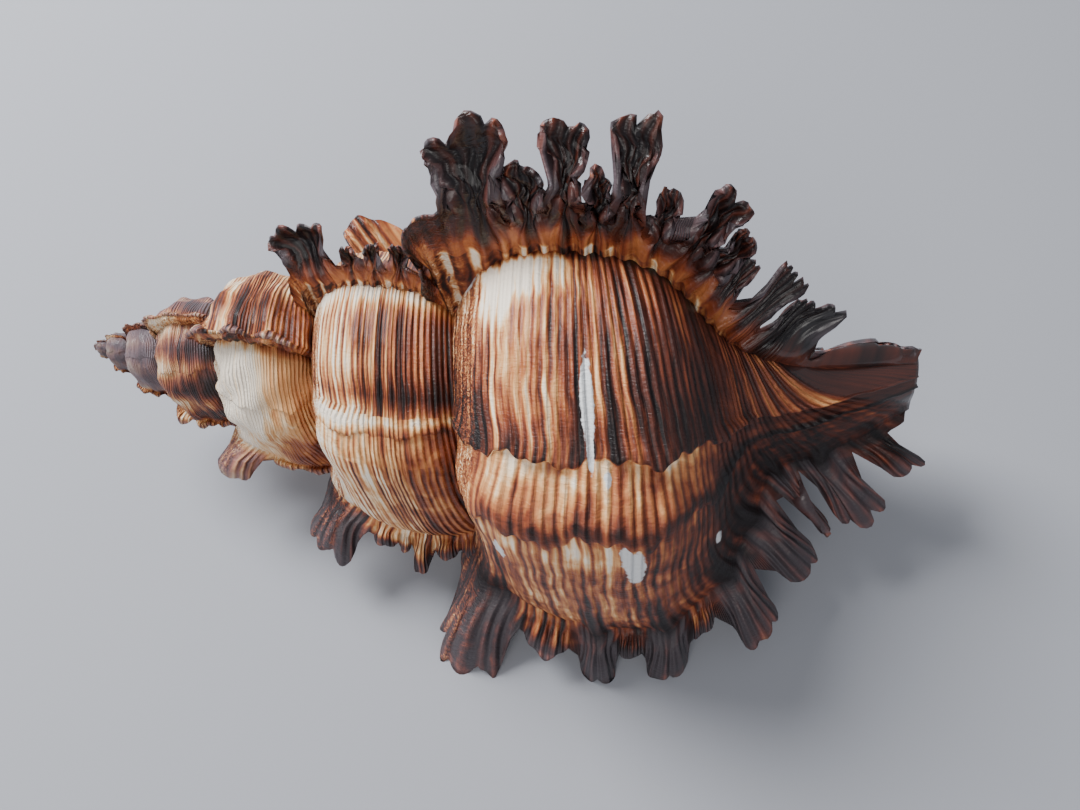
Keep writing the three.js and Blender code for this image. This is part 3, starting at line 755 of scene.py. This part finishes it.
def frill_points(stage, share, rises, end, scale, foot_normal, foot_tone):
    """Back and front of the frill with their fields: the front lies a thickness ahead of the back."""
    frond_scale = 1.0 if stage < BODY_STAGES else scale / radius_scale(LIP_ANGLE - 360)
    rise = np.linspace(0, 1, rises)[None, :] + 0 * share[:, None]
    grid = share[:, None] + 0 * rise
    at_varix = np.full_like(grid, float(end))
    back, q, out, distance, finger, length = frill(grid, rise, at_varix, stage, frond_scale)
    forward = unit(np.cross(np.gradient(back, axis=1), np.gradient(back, axis=0)))
    if (forward[:, 1] * growth_at(float(end))).sum() < 0:
        forward = -forward
    leaves = smooth(0, 0.25, rise)[..., None]
    cords = cord_share(grid, at_varix)
    relief = cord_relief(cords) * scale * 1.3 + 0.45 * scale * finger * smooth(0.25, 0.6, out)
    outward = foot_normal * (1 - leaves) - forward * leaves
    edge = WORN_EDGE if stage >= WORN_FROM else FRILL_EDGE
    thick = (FRILL_FOOT * (1 - rise) ** 2 + edge) * scale
    flutes = crests(CORDS / 2, grid) * (1 - rise) ** 3 * fall(0.76, 0.82, grid)
    thick = thick + FLUTE_HEIGHT * scale * flutes
    front = back + forward * thick[..., None] - forward * (0.5 * relief * leaves[..., 0])[..., None]
    back = back + outward * relief[..., None]
    place = dict(share=cords, arc=arc_at(at_varix) + distance, part=1.0, rise=out, across=q)
    fields = []
    for is_front in (0, 1):
        tone, white, lilac = frond_tone(grid, q, out, distance, length, stage, is_front, foot_tone)
        colour = dict(tone=tone, white=white, lilac=lilac, plain=plainness(stage))
        fields.append(field_block(grid.shape, **place, **colour, front=is_front))
    points = np.concatenate([back, front[:, ::-1]], axis=1)
    return points, np.concatenate([fields[0], fields[1][:, ::-1]], axis=1)


def stage_rows(stage, rows, columns, rises):
    """Rows of a stage: the whorl, the frill, and a core that lies just past the axis."""
    end = varix_angle(stage)
    start = varix_angle(stage + 1) - STAGE_OVERLAP
    scale = radius_scale(end)
    share = row_shares(stage, 1 if turns_before_lip(end) < 0.9 else SPIRE_END_SHARE, rows)
    surface, fields, *foot = whorl_points(stage, share, columns, start, end, scale)
    raised, raised_fields = frill_points(stage, share, rises, end, scale, *foot)
    x, _ = section(share, float(end))
    core = x[:, None] * AXIAL - CORE_RADIUS * scale * radial_at((start + end) / 2)
    core_fields = field_block((rows, 1), share=share[:, None], inner=1.0, tone=0.75)
    points = np.concatenate([surface[:, :-1], raised, core[:, None]], axis=1)
    return points, np.concatenate([fields[:, :-1], raised_fields, core_fields], axis=1)


def sheet(points):
    """Quads of a grid that wraps round its columns, and fans that close both end rows."""
    rows, columns, _ = points.shape
    index = np.arange(rows * columns).reshape(rows, columns)
    following = np.roll(index, -1, axis=1)
    quads = np.stack([index[:-1], following[:-1], following[1:], index[1:]], -1)
    j = np.arange(columns - 2)
    first, last = index[0], index[-1]
    fans = np.concatenate(
        [
            np.stack([0 * j + first[-1], first[j + 1], first[j]], -1),
            np.stack([0 * j + last[-1], last[j], last[j + 1]], -1),
        ]
    )
    return quads, fans


print("points of a small stage:", stage_rows(5, 4, 6, 3)[0].shape)

# %% [markdown]
# ## The aperture
# The newest stage isn't closed flat: its end face runs from the lip to an egg-shaped rim and from
# there back into the body whorl, narrowing as it follows the coil. A hole could be cut with a
# boolean, but rings between the edge of the face and the rim, and down the hollow, keep the mesh clean.

# %% Aperture
RINGS_OUT, RINGS_IN = 7, 12
APERTURE_X, APERTURE_RADIUS, APERTURE_HALF_LENGTH, APERTURE_HALF_WIDTH = 64, 12.8, 10.5, 7.6
APERTURE_RUNS_IN = 115
# The end face sinks between edge and rim, the rim stands up, and fine teeth run round its outer side.
FACE_SINKS, RIM_RISES, TOOTH_HEIGHT = 0.9, 1.5, 0.25


def aperture_ring(angle_round, size, depth):
    """Points round the hollow at a share of its depth: an ellipse, narrower towards the canal."""
    x = APERTURE_X - 5 * depth + size * APERTURE_HALF_LENGTH * np.cos(angle_round)
    egg = 1 - 0.25 * np.cos(angle_round)
    radius = APERTURE_RADIUS - 1.5 * depth + size * APERTURE_HALF_WIDTH * egg * np.sin(angle_round)
    angle = LIP_ANGLE - APERTURE_RUNS_IN * depth
    return x[:, None] * AXIAL + radius[:, None] * radial_at(angle)


def aperture(points, rows_at, foot_column):
    """Rings from the loop round the end face to the rim and down the hollow, with their fields."""
    loop = np.concatenate([points[:, foot_column], points[::-1, -1]])
    radial, growth = radial_at(LIP_ANGLE), growth_at(LIP_ANGLE)
    dx = (loop[:, 0] - APERTURE_X) / APERTURE_HALF_LENGTH
    dr = (loop @ radial - APERTURE_RADIUS) / APERTURE_HALF_WIDTH
    angle_round = np.arctan2(dr, dx)
    rings, fields = [], []
    shares = np.concatenate([rows_at, 0 * rows_at])
    outer = (np.arange(len(loop)) < len(points)) & (angle_round > -0.3)
    crenate = TOOTH_HEIGHT * crests(CORDS, rows_at)
    crenate = np.concatenate([crenate, 0 * crenate]) * outer
    rim = aperture_ring(angle_round, 1.0, 0.0)
    for k in range(1, RINGS_OUT + 1):
        t = k / RINGS_OUT
        sunk = -FACE_SINKS * np.sin(np.pi * t) * fall(0.64, 0.7, shares)
        lifted = sunk + RIM_RISES * smooth(0.7, 1, t) + crenate * hump(0.9, 0.12, t)
        rings.append(loop * (1 - t) + (rim + growth * 0.6) * t + growth * lifted[:, None])
        fields.append(field_block((len(loop),), share=shares, inner=t))
    for k in range(1, RINGS_IN + 1):
        depth = (k / RINGS_IN) ** 1.3
        size = (1 - 0.75 * depth**2) * (1 - 0.06 * smooth(0, 0.15, depth))
        ring = aperture_ring(angle_round, size, depth)
        rings.append(ring + growth * ((0.6 + RIM_RISES) * fall(0, 0.08, depth)))
        fields.append(field_block((len(loop),), share=shares, inner=1 + depth))
    return np.stack(rings), np.stack(fields)


def aperture_faces(rows, columns, foot_column, first_new, rings):
    """Quads between neighbouring rings, the outermost of them the loop itself, and a fan at the end."""
    base = np.arange(rows) * columns
    loop = np.concatenate([base + foot_column, (base + columns - 1)[::-1]])
    count = len(loop)
    index = np.vstack([loop, first_new + np.arange(rings * count).reshape(rings, count)])
    following = np.roll(index, -1, axis=1)
    quads = np.stack([index[:-1], index[1:], following[1:], following[:-1]], -1).reshape(-1, 4)
    last = index[-1]
    j = np.arange(1, count - 1)
    fan = np.stack([0 * j + last[0], last[j + 1], last[j]], -1)
    return quads, fan


def with_aperture(points, fields, quads, fans):
    """Takes the flat end face out of a stage and puts the rings of the aperture in its place."""
    rows, columns, _ = points.shape
    foot = columns - 2
    rings, ring_fields = aperture(points, fields[:, 0, FIELDS.index("share")], foot)
    ring_quads, fan = aperture_faces(rows, columns, foot, rows * columns, len(rings))
    points = np.concatenate([points.reshape(-1, 3), rings.reshape(-1, 3)])
    fields = np.concatenate([fields.reshape(-1, len(FIELDS)), ring_fields.reshape(-1, len(FIELDS))])
    quads = np.concatenate([np.delete(quads, foot, axis=1).reshape(-1, 4), ring_quads])
    return points, fields, quads, np.concatenate([fans, fan])


print("rings of the aperture:", RINGS_OUT + RINGS_IN)

# %% [markdown]
# ## Growing every stage
# The loop builds the stages from the lip back to the apex. Small, old stages need fewer points.
# Overlapping sheets are left as they are: a boolean would join them, at the cost of the even grid.

# %% All stages
# Rows, columns of the whorl, and steps up the frill: the body whorl, then the spire.
STAGE_MESHES = [(240, 44, 17), (260, 26, 20), (170, 20, 14)]
STAGE_MESHES += 3 * [(140, 26, 11)] + 4 * [(56, 16, 5)] + 12 * [(32, 12, 4)]
# Fronds that stand on the ground end just above it, because two faces in one plane would flicker.
GROUND_GAP = 0.02

vertices, all_fields, all_quads, all_fans = [], [], [], []
offset = 0
for stage, (rows, columns, rises) in enumerate(STAGE_MESHES):
    points, fields = stage_rows(stage, rows, columns, rises)
    quads, fans = sheet(points)
    if stage == 0:
        points, fields, quads, fans = with_aperture(points, fields, quads, fans)
    vertices.append(bent(points.reshape(-1, 3)))
    all_fields.append(fields.reshape(-1, len(FIELDS)))
    all_quads.append(quads.reshape(-1, 4) + offset)
    all_fans.append(fans + offset)
    offset += len(vertices[-1])

vertices = np.concatenate(vertices) + TO_OBJECT
vertices[:, 2] = np.maximum(vertices[:, 2], GROUND_GAP)
fields = np.concatenate(all_fields)
quads, fans = np.concatenate(all_quads), np.concatenate(all_fans)
print("triangles:", 2 * len(quads) + len(fans))

# %% [markdown]
# ## One mesh
# The shell grew as one body, so all its sheets go into one mesh, in metres and already in place.
# Each field becomes an attribute of the points, which the materials read.

# %% Mesh
mesh = bpy.data.meshes.new("murex_shell_surface")
mesh.from_pydata((vertices / 1000).tolist(), [], quads.tolist() + fans.tolist())
for name, values in zip(FIELDS, fields.T):
    attribute = mesh.attributes.new(name, "FLOAT", "POINT")
    attribute.data.foreach_set("value", values.astype(np.float32))
mesh.polygons.foreach_set("use_smooth", np.ones(len(mesh.polygons), dtype=bool))
mesh.update()
shell = bpy.data.objects.new("murex_shell_surface", mesh)
bpy.context.scene.collection.objects.link(shell)
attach(shell, "root")
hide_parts("murex_shell")
print("vertices:", len(mesh.vertices))

# %% [markdown]
# ## Painting with nodes
# The finishes are shader nodes, and nodes could be added one by one. A few short helpers write
# them instead, so that each finish below reads as a formula.

# %% Node helpers
class Graph:
    """Adds nodes to a tree; every method returns the output socket of what it made."""

    def __init__(self, tree):
        self.tree = tree

    def node(self, kind, **settings):
        node = self.tree.nodes.new(kind)
        for name, value in settings.items():
            setattr(node, name, value)
        return node

    def put(self, socket, value):
        if isinstance(value, bpy.types.NodeSocket):
            self.tree.links.new(value, socket)
        elif value is not None:
            socket.default_value = value

    def math(self, operation, a, b=None, c=None, clamp=False):
        node = self.node("ShaderNodeMath", operation=operation, use_clamp=clamp)
        for socket, value in zip(node.inputs, (a, b, c)):
            self.put(socket, value)
        return node.outputs[0]

    def plus(self, a, b):
        return self.math("ADD", a, b)

    def minus(self, a, b):
        return self.math("SUBTRACT", a, b)

    def times(self, a, b):
        return self.math("MULTIPLY", a, b)

    def times_plus(self, a, b, c):
        """a times b, plus c."""
        return self.math("MULTIPLY_ADD", a, b, c)

    def smooth(self, value, low, high):
        node = self.node("ShaderNodeMapRange", interpolation_type="SMOOTHSTEP")
        self.put(node.inputs["Value"], value)
        self.put(node.inputs["From Min"], low)
        self.put(node.inputs["From Max"], high)
        return node.outputs[0]

    def vector(self, x, y, z=0.0):
        node = self.node("ShaderNodeCombineXYZ")
        for socket, value in zip(node.inputs, (x, y, z)):
            self.put(socket, value)
        return node.outputs[0]

    def noise(self, vector, scale, detail=2.0, distortion=0.0):
        node = self.node("ShaderNodeTexNoise")
        self.put(node.inputs["Vector"], vector)
        self.put(node.inputs["Scale"], scale)
        self.put(node.inputs["Detail"], detail)
        self.put(node.inputs["Distortion"], distortion)
        return node.outputs[0]

    def ramp(self, value, stops):
        node = self.node("ShaderNodeValToRGB")
        elements = node.color_ramp.elements
        while len(elements) < len(stops):
            elements.new(0.5)
        for element, (place, colour) in zip(elements, stops):
            element.position = place
            element.color = (*colour, 1)
        self.put(node.inputs[0], value)
        return node.outputs[0]

    def mix(self, share, a, b, blend="MIX"):
        node = self.node("ShaderNodeMix", data_type="RGBA", blend_type=blend)
        self.put(node.inputs[0], share)
        self.put(node.inputs[6], a if isinstance(a, bpy.types.NodeSocket) else (*a, 1))
        self.put(node.inputs[7], b if isinstance(b, bpy.types.NodeSocket) else (*b, 1))
        return node.outputs[2]

    def attribute(self, name):
        node = self.node("ShaderNodeAttribute", attribute_name=name)
        return node.outputs["Fac"]


def linear(code):
    """A colour written as it looks, turned into the linear light that Blender works in."""
    parts = [int(code[i : i + 2], 16) / 255 for i in (0, 2, 4)]
    return tuple(c / 12.92 if c <= 0.04045 else ((c + 0.055) / 1.055) ** 2.4 for c in parts)


def new_group(name, inputs, outputs):
    """An empty node group with float or colour sockets."""
    tree = bpy.data.node_groups.new(name, "ShaderNodeTree")
    for direction, sockets in (("INPUT", inputs), ("OUTPUT", outputs)):
        for socket_name, kind in sockets.items():
            tree.interface.new_socket(socket_name, in_out=direction, socket_type="NodeSocket" + kind)
    graph = Graph(tree)
    return graph, graph.node("NodeGroupInput").outputs, graph.node("NodeGroupOutput").inputs

def use_group(graph, tree, **values):
    """Places a node group and feeds its inputs."""
    node = graph.node("ShaderNodeGroup", node_tree=tree)
    for name, value in values.items():
        graph.put(node.inputs[name], value)
    return node.outputs


print("helpers ready")

# %% [markdown]
# ## Spiral streaks
# Every groove between two cords is darker, but never evenly: the pigment comes and goes along it.
# Noise that is stretched fifteen times along the spiral gives streaks that follow the cords.
# Two finishes use them, so they are a node group.

# %% Streaks
ALONG_SPIRAL = 0.065
streak_inputs = {"Share": "Float", "Arc": "Float", "Layer": "Float"}
graph, given, made = new_group("spiral_streaks", streak_inputs, {"Streaks": "Float", "Groove": "Float"})
wander = graph.noise(graph.vector(graph.times(given["Share"], 8), given["Arc"]), 0.16, 2)
drift = graph.times(graph.minus(wander, 0.5), 0.022)
share = graph.plus(given["Share"], drift)
across = graph.times(share, OUTLINE_LENGTH)
wave = graph.math("COSINE", graph.times(share, 2 * math.pi * CORDS))
groove = graph.math("POWER", graph.times_plus(wave, -0.5, 0.5), 1.8)
along = graph.times_plus(given["Arc"], ALONG_SPIRAL, graph.times(given["Layer"], 31.7))
broad = graph.noise(graph.vector(across, along), 0.8, 2)
fine = graph.noise(graph.vector(across, graph.times(along, 2.0), 4.0), 2.6, 3)
patchy = graph.noise(graph.vector(across, given["Arc"], 9.0), 0.13, 2)
total = graph.times(graph.minus(broad, 0.5), 1.15)
total = graph.times_plus(graph.minus(fine, 0.5), 0.7, total)
total = graph.times_plus(graph.minus(patchy, 0.5), 0.7, total)
graph.put(made["Streaks"], total)
strength = graph.smooth(graph.noise(graph.vector(across, along, 14.0), 0.9, 2), 0.38, 0.62)
graph.put(made["Groove"], graph.times(groove, graph.times_plus(strength, 0.75, 0.25)))
streaks_group = graph.tree
print("nodes of the streaks:", len(streaks_group.nodes))

# %% [markdown]
# ## Growth lines
# Fine lines cross the cords where the lip stood still for a moment. Near the suture they grow into
# a band of crowded scales. They are too fine for the mesh, so their height goes to a bump, and the
# scales also shift the tone a little.

# %% Growth lines
# The band of scales ends between these shares.
SCALES_FADE, SCALES_END = 0.175, 0.215
line_inputs = {"Share": "Float", "Arc": "Float"}
graph, given, made = new_group("growth_lines", line_inputs, {"Height": "Float", "Scales": "Float"})
across = graph.times(given["Share"], OUTLINE_LENGTH)
lines = graph.noise(graph.vector(graph.times(across, 0.35), given["Arc"]), 3.2, 3, 0.6)
scales = graph.noise(graph.vector(across, given["Arc"], 3.0), 1.9, 3, 1.8)
band = graph.minus(1.0, graph.smooth(given["Share"], SCALES_FADE, SCALES_END))
height = graph.times(scales, graph.times_plus(band, 2.6, 0.2))
height = graph.times_plus(lines, 0.8, height)
ribs = graph.noise(graph.vector(graph.times(across, 3.0), graph.times(given["Arc"], 0.1)), 1.4, 2)
height = graph.times_plus(ribs, 0.7, height)
cords = graph.math("COSINE", graph.times(given["Share"], 2 * math.pi * CORDS))
height = graph.times_plus(graph.times(cords, graph.minus(1.0, band)), 0.5, height)
outside = graph.minus(1.0, graph.smooth(given["Share"], 0.99, 1.01))
graph.put(made["Height"], graph.times(height, outside))
graph.put(made["Scales"], graph.times(band, graph.minus(scales, 0.5)))
lines_group = graph.tree
print("nodes of the growth lines:", len(lines_group.nodes))

# %% [markdown]
# ## The outside of the shell
# The tone of the surface and the streaks together pick a colour between cream and nearly black.
# Bare places are chalk white with a ragged edge, and so is a painted highlight on a ridge of the body
# whorl; old whorls fade to grey-lilac. The front faces of the frills are smoother and glossier, so the
# same function makes a second finish for them.

# %% Outside
SHELL_COLOURS = [
    (0.0, linear("fff1dd")),
    (0.12, linear("fad8ad")),
    (0.24, linear("e4a96e")),
    (0.38, linear("bd7545")),
    (0.54, linear("8a4429")),
    (0.7, linear("56271b")),
    (0.86, linear("2d1713")),
    (1.0, linear("150d0e")),
]
# Chalk white of the bare places, also used for the painted highlight on a ridge.
OLD_LILAC, CHALK_AND_GLINT_WHITE = linear("8e8189"), linear("dedfe0")
RIBS_ACROSS = 24.0
BUMP_DEPTH = 0.00022


def outside_tone(graph, share, arc, part, streak_strength):
    """The stored tone plus streaks, blotches and grooves, each weaker where the shell is plain."""
    after_stop = graph.math("GREATER_THAN", part, FIRST_STOP)
    after_second = graph.math("GREATER_THAN", part, SECOND_STOP)
    streaks = use_group(graph, streaks_group, Share=share, Arc=arc, Layer=after_stop)
    strength = graph.times_plus(after_stop, -0.5 * streak_strength, streak_strength)
    strength = graph.times_plus(after_second, 0.4 * streak_strength, strength)
    in_dark = graph.times_plus(graph.smooth(share, 0.47, 0.56), -0.4, 1.0)
    in_dark = graph.times_plus(graph.smooth(share, 0.74, 0.82), -0.25, in_dark)
    strength = graph.times(strength, in_dark)
    strength = graph.times(strength, graph.minus(1.0, graph.attribute("plain")))
    tone = graph.times_plus(streaks["Streaks"], strength, graph.attribute("tone"))
    blotch = graph.noise(graph.vector(graph.times(share, 24), graph.times(arc, 0.42)), 1.0, 3, 0.8)
    blotch_strength = graph.times(after_stop, 0.65 * streak_strength)
    tone = graph.plus(tone, graph.times(graph.minus(blotch, 0.5), blotch_strength))
    grooves = graph.times(streaks["Groove"], strength)
    return graph.times_plus(grooves, 0.45, graph.minus(tone, 0.08))


def shell_material(name, roughness, coat, bump, streak_strength):
    """Tone to colour, growth lines and ribs to bump, noise to roughness, and a wet coat on the spout."""
    material = bpy.data.materials.new(name)
    material.use_nodes = True
    graph = Graph(material.node_tree)
    shader = material.node_tree.nodes["Principled BSDF"]
    share, arc, part = (graph.attribute(field) for field in ("share", "arc", "part"))
    place = graph.vector(graph.times(share, OUTLINE_LENGTH), arc)
    relief = use_group(graph, lines_group, Share=share, Arc=arc)
    ribs = graph.math("COSINE", graph.times(graph.attribute("across"), RIBS_ACROSS))
    ribs = graph.times(ribs, graph.smooth(graph.attribute("rise"), 0.15, 0.5))
    tone = outside_tone(graph, share, arc, part, streak_strength)
    tone = graph.times_plus(relief["Scales"], -1.5 * streak_strength, tone)
    colour = graph.ramp(graph.times_plus(ribs, 0.1, tone), SHELL_COLOURS)
    faded = graph.mix(graph.times(graph.attribute("lilac"), 0.75), colour, OLD_LILAC)
    # White: bare chalk with a ragged edge, and the painted highlight on a ridge.
    white = graph.plus(graph.attribute("white"), graph.times_plus(graph.noise(place, 1.6, 3), 0.7, -0.35))
    graph.put(shader.inputs["Base Color"], graph.mix(graph.smooth(white, 0.0, 0.2), faded, CHALK_AND_GLINT_WHITE))
    raised = graph.node("ShaderNodeBump")
    graph.put(raised.inputs["Strength"], bump)
    graph.put(raised.inputs["Distance"], BUMP_DEPTH)
    graph.put(raised.inputs["Height"], graph.times_plus(ribs, -0.9, relief["Height"]))
    graph.put(shader.inputs["Normal"], raised.outputs[0])
    uneven = graph.times_plus(graph.noise(place, 0.6, 2), 0.3, roughness - 0.15)
    graph.put(shader.inputs["Roughness"], uneven)
    wet = graph.times_plus(graph.smooth(share, 0.99, 1.01), 0.7, coat)
    graph.put(shader.inputs["Coat Weight"], wet)
    graph.put(shader.inputs["Specular IOR Level"], 0.38)
    graph.put(shader.inputs["Coat Roughness"], 0.14)
    return material


mesh.materials.append(shell_material("shell_outside", 0.45, 0.08, 0.8, 1.0))
mesh.materials.append(shell_material("frond_hollow", 0.3, 0.25, 0.6, 0.35))
print("finishes:", [material.name for material in mesh.materials])

# %% [markdown]
# ## The lining
# The aperture is lined with smooth porcelain: cream white, warm grey deeper in, glossy. The field
# "inner" grows from 0 at the lip over 1 at the rim to 2 at the end of the hollow, so one ramp
# colours it all, and the margin of the canal is darkened on top.

# %% Lining
LINING_COLOURS = [
    (0.0, linear("5a3420")),
    (0.3, linear("8a5c3c")),
    (0.44, linear("e6d8c8")),
    (0.6, linear("ddd3cc")),
    (1.0, linear("9a8480")),
]
CANAL_MARGIN = linear("3a1f17")

lining = bpy.data.materials.new("aperture_lining")
lining.use_nodes = True
graph = Graph(lining.node_tree)
shader = lining.node_tree.nodes["Principled BSDF"]
depth = graph.times(graph.attribute("inner"), 0.5)
porcelain = graph.ramp(depth, LINING_COLOURS)
near_edge = graph.minus(1.0, graph.smooth(depth, 0.2, 0.45))
canal_edge = graph.times(near_edge, graph.smooth(graph.attribute("share"), 0.62, 0.7))
graph.put(shader.inputs["Base Color"], graph.mix(canal_edge, porcelain, CANAL_MARGIN))
shader.inputs["Roughness"].default_value = 0.22
shader.inputs["Coat Weight"].default_value = 0.4
mesh.materials.append(lining)
print("colours of the lining:", len(LINING_COLOURS))

# %% [markdown]
# ## Which face gets which finish
# A face is lining where all its corners lie inside, hollow where all lie on the front of a frill or
# in the spout of the canal, and outside everywhere else. So the fields sort the faces too.

# %% Finishes by face
front, inner = fields[:, FIELDS.index("front")], fields[:, FIELDS.index("inner")]
corners = np.concatenate([quads, np.concatenate([fans, fans[:, 2:]], axis=1)])
kinds = np.where(inner[corners].min(axis=1) > 0, 2, np.where(front[corners].min(axis=1) > 0.5, 1, 0))
mesh.polygons.foreach_set("material_index", kinds.astype(np.int32))
mesh.update()
print("faces by finish:", np.bincount(kinds))

# %% [markdown]
# ## The floor
# A plain, pale, matt plane is enough to catch the shadow. It is a stage piece, not part of the shell.

# %% Floor
floor_mesh = bpy.data.meshes.new("floor")
floor_mesh.from_pydata([(-2, -2, 0), (2, -2, 0), (2, 2, 0), (-2, 2, 0)], [], [(0, 1, 2, 3)])
floor = bpy.data.objects.new("floor", floor_mesh)
bpy.context.scene.collection.objects.link(floor)
pale = bpy.data.materials.new("floor")
pale.use_nodes = True
pale.node_tree.nodes["Principled BSDF"].inputs["Base Color"].default_value = (0.345, 0.352, 0.385, 1)
pale.node_tree.nodes["Principled BSDF"].inputs["Roughness"].default_value = 0.9
floor_mesh.materials.append(pale)
print("floor:", floor.name)

# %% [markdown]
# ## Light
# One broad, cool light from behind on the left makes the shell look round and glossy, and a weak,
# warm one in front opens the shadows. Discs give soft edges, and the pale room fills the rest.

# %% Light
AIM = (0, 0, 0.02)


def area_light(name, place, size, energy, colour):
    """A disc that faces the shell."""
    light = bpy.data.lights.new(name, "AREA")
    light.shape = "DISK"
    light.size = size
    light.energy = energy
    light.color = colour
    lamp = bpy.data.objects.new(name, light)
    lamp.location = place
    lamp.rotation_euler = (Vector(AIM) - Vector(place)).to_track_quat("-Z", "Y").to_euler()
    bpy.context.scene.collection.objects.link(lamp)


area_light("window", (-0.22, 0.14, 0.30), 0.2, 3.0, (0.98, 0.99, 1.0))
area_light("fill", (-0.05, -0.35, 0.3), 0.3, 0.8, (1.0, 0.97, 0.94))
world = bpy.data.worlds.new("room")
world.use_nodes = True
world.node_tree.nodes["Background"].inputs["Color"].default_value = (0.75, 0.8, 0.88, 1)
world.node_tree.nodes["Background"].inputs["Strength"].default_value = 0.45
bpy.context.scene.world = world
print("lights:", [light.name for light in bpy.data.lights])

# %% [markdown]
# ## Camera
# It looks down steeply from the front, turned and rolled by a few degrees. The three angles give
# its axes, which stand as columns in its matrix.

# %% Camera
CAMERA_TURN, CAMERA_DOWN, CAMERA_ROLL = math.radians(15.684), math.radians(65.2), math.radians(-8.13)
CAMERA_PLACE = (np.array([65.453, -39.406, 85.331]) + TO_OBJECT) / 1000
right = np.array([math.cos(CAMERA_TURN), math.sin(CAMERA_TURN), 0])
level = np.array([-math.sin(CAMERA_TURN), math.cos(CAMERA_TURN), 0])
up = np.array([0, 0, 1.0])
forward = level * math.cos(CAMERA_DOWN) - up * math.sin(CAMERA_DOWN)
below = -level * math.sin(CAMERA_DOWN) - up * math.cos(CAMERA_DOWN)
image_x = math.cos(CAMERA_ROLL) * right - math.sin(CAMERA_ROLL) * below
image_y = math.sin(CAMERA_ROLL) * right + math.cos(CAMERA_ROLL) * below
camera_data = bpy.data.cameras.new("camera")
camera_data.sensor_width = 36
camera_data.lens = 28.17
camera_data.clip_start = 0.002
camera = bpy.data.objects.new("camera", camera_data)
turned = np.stack([image_x, -image_y, -forward, CAMERA_PLACE], 1)
camera.matrix_world = Matrix([list(row) for row in turned] + [[0, 0, 0, 1]])
bpy.context.scene.collection.objects.link(camera)
bpy.context.scene.camera = camera
print("camera at %.0f mm above the floor" % (CAMERA_PLACE[2] * 1000))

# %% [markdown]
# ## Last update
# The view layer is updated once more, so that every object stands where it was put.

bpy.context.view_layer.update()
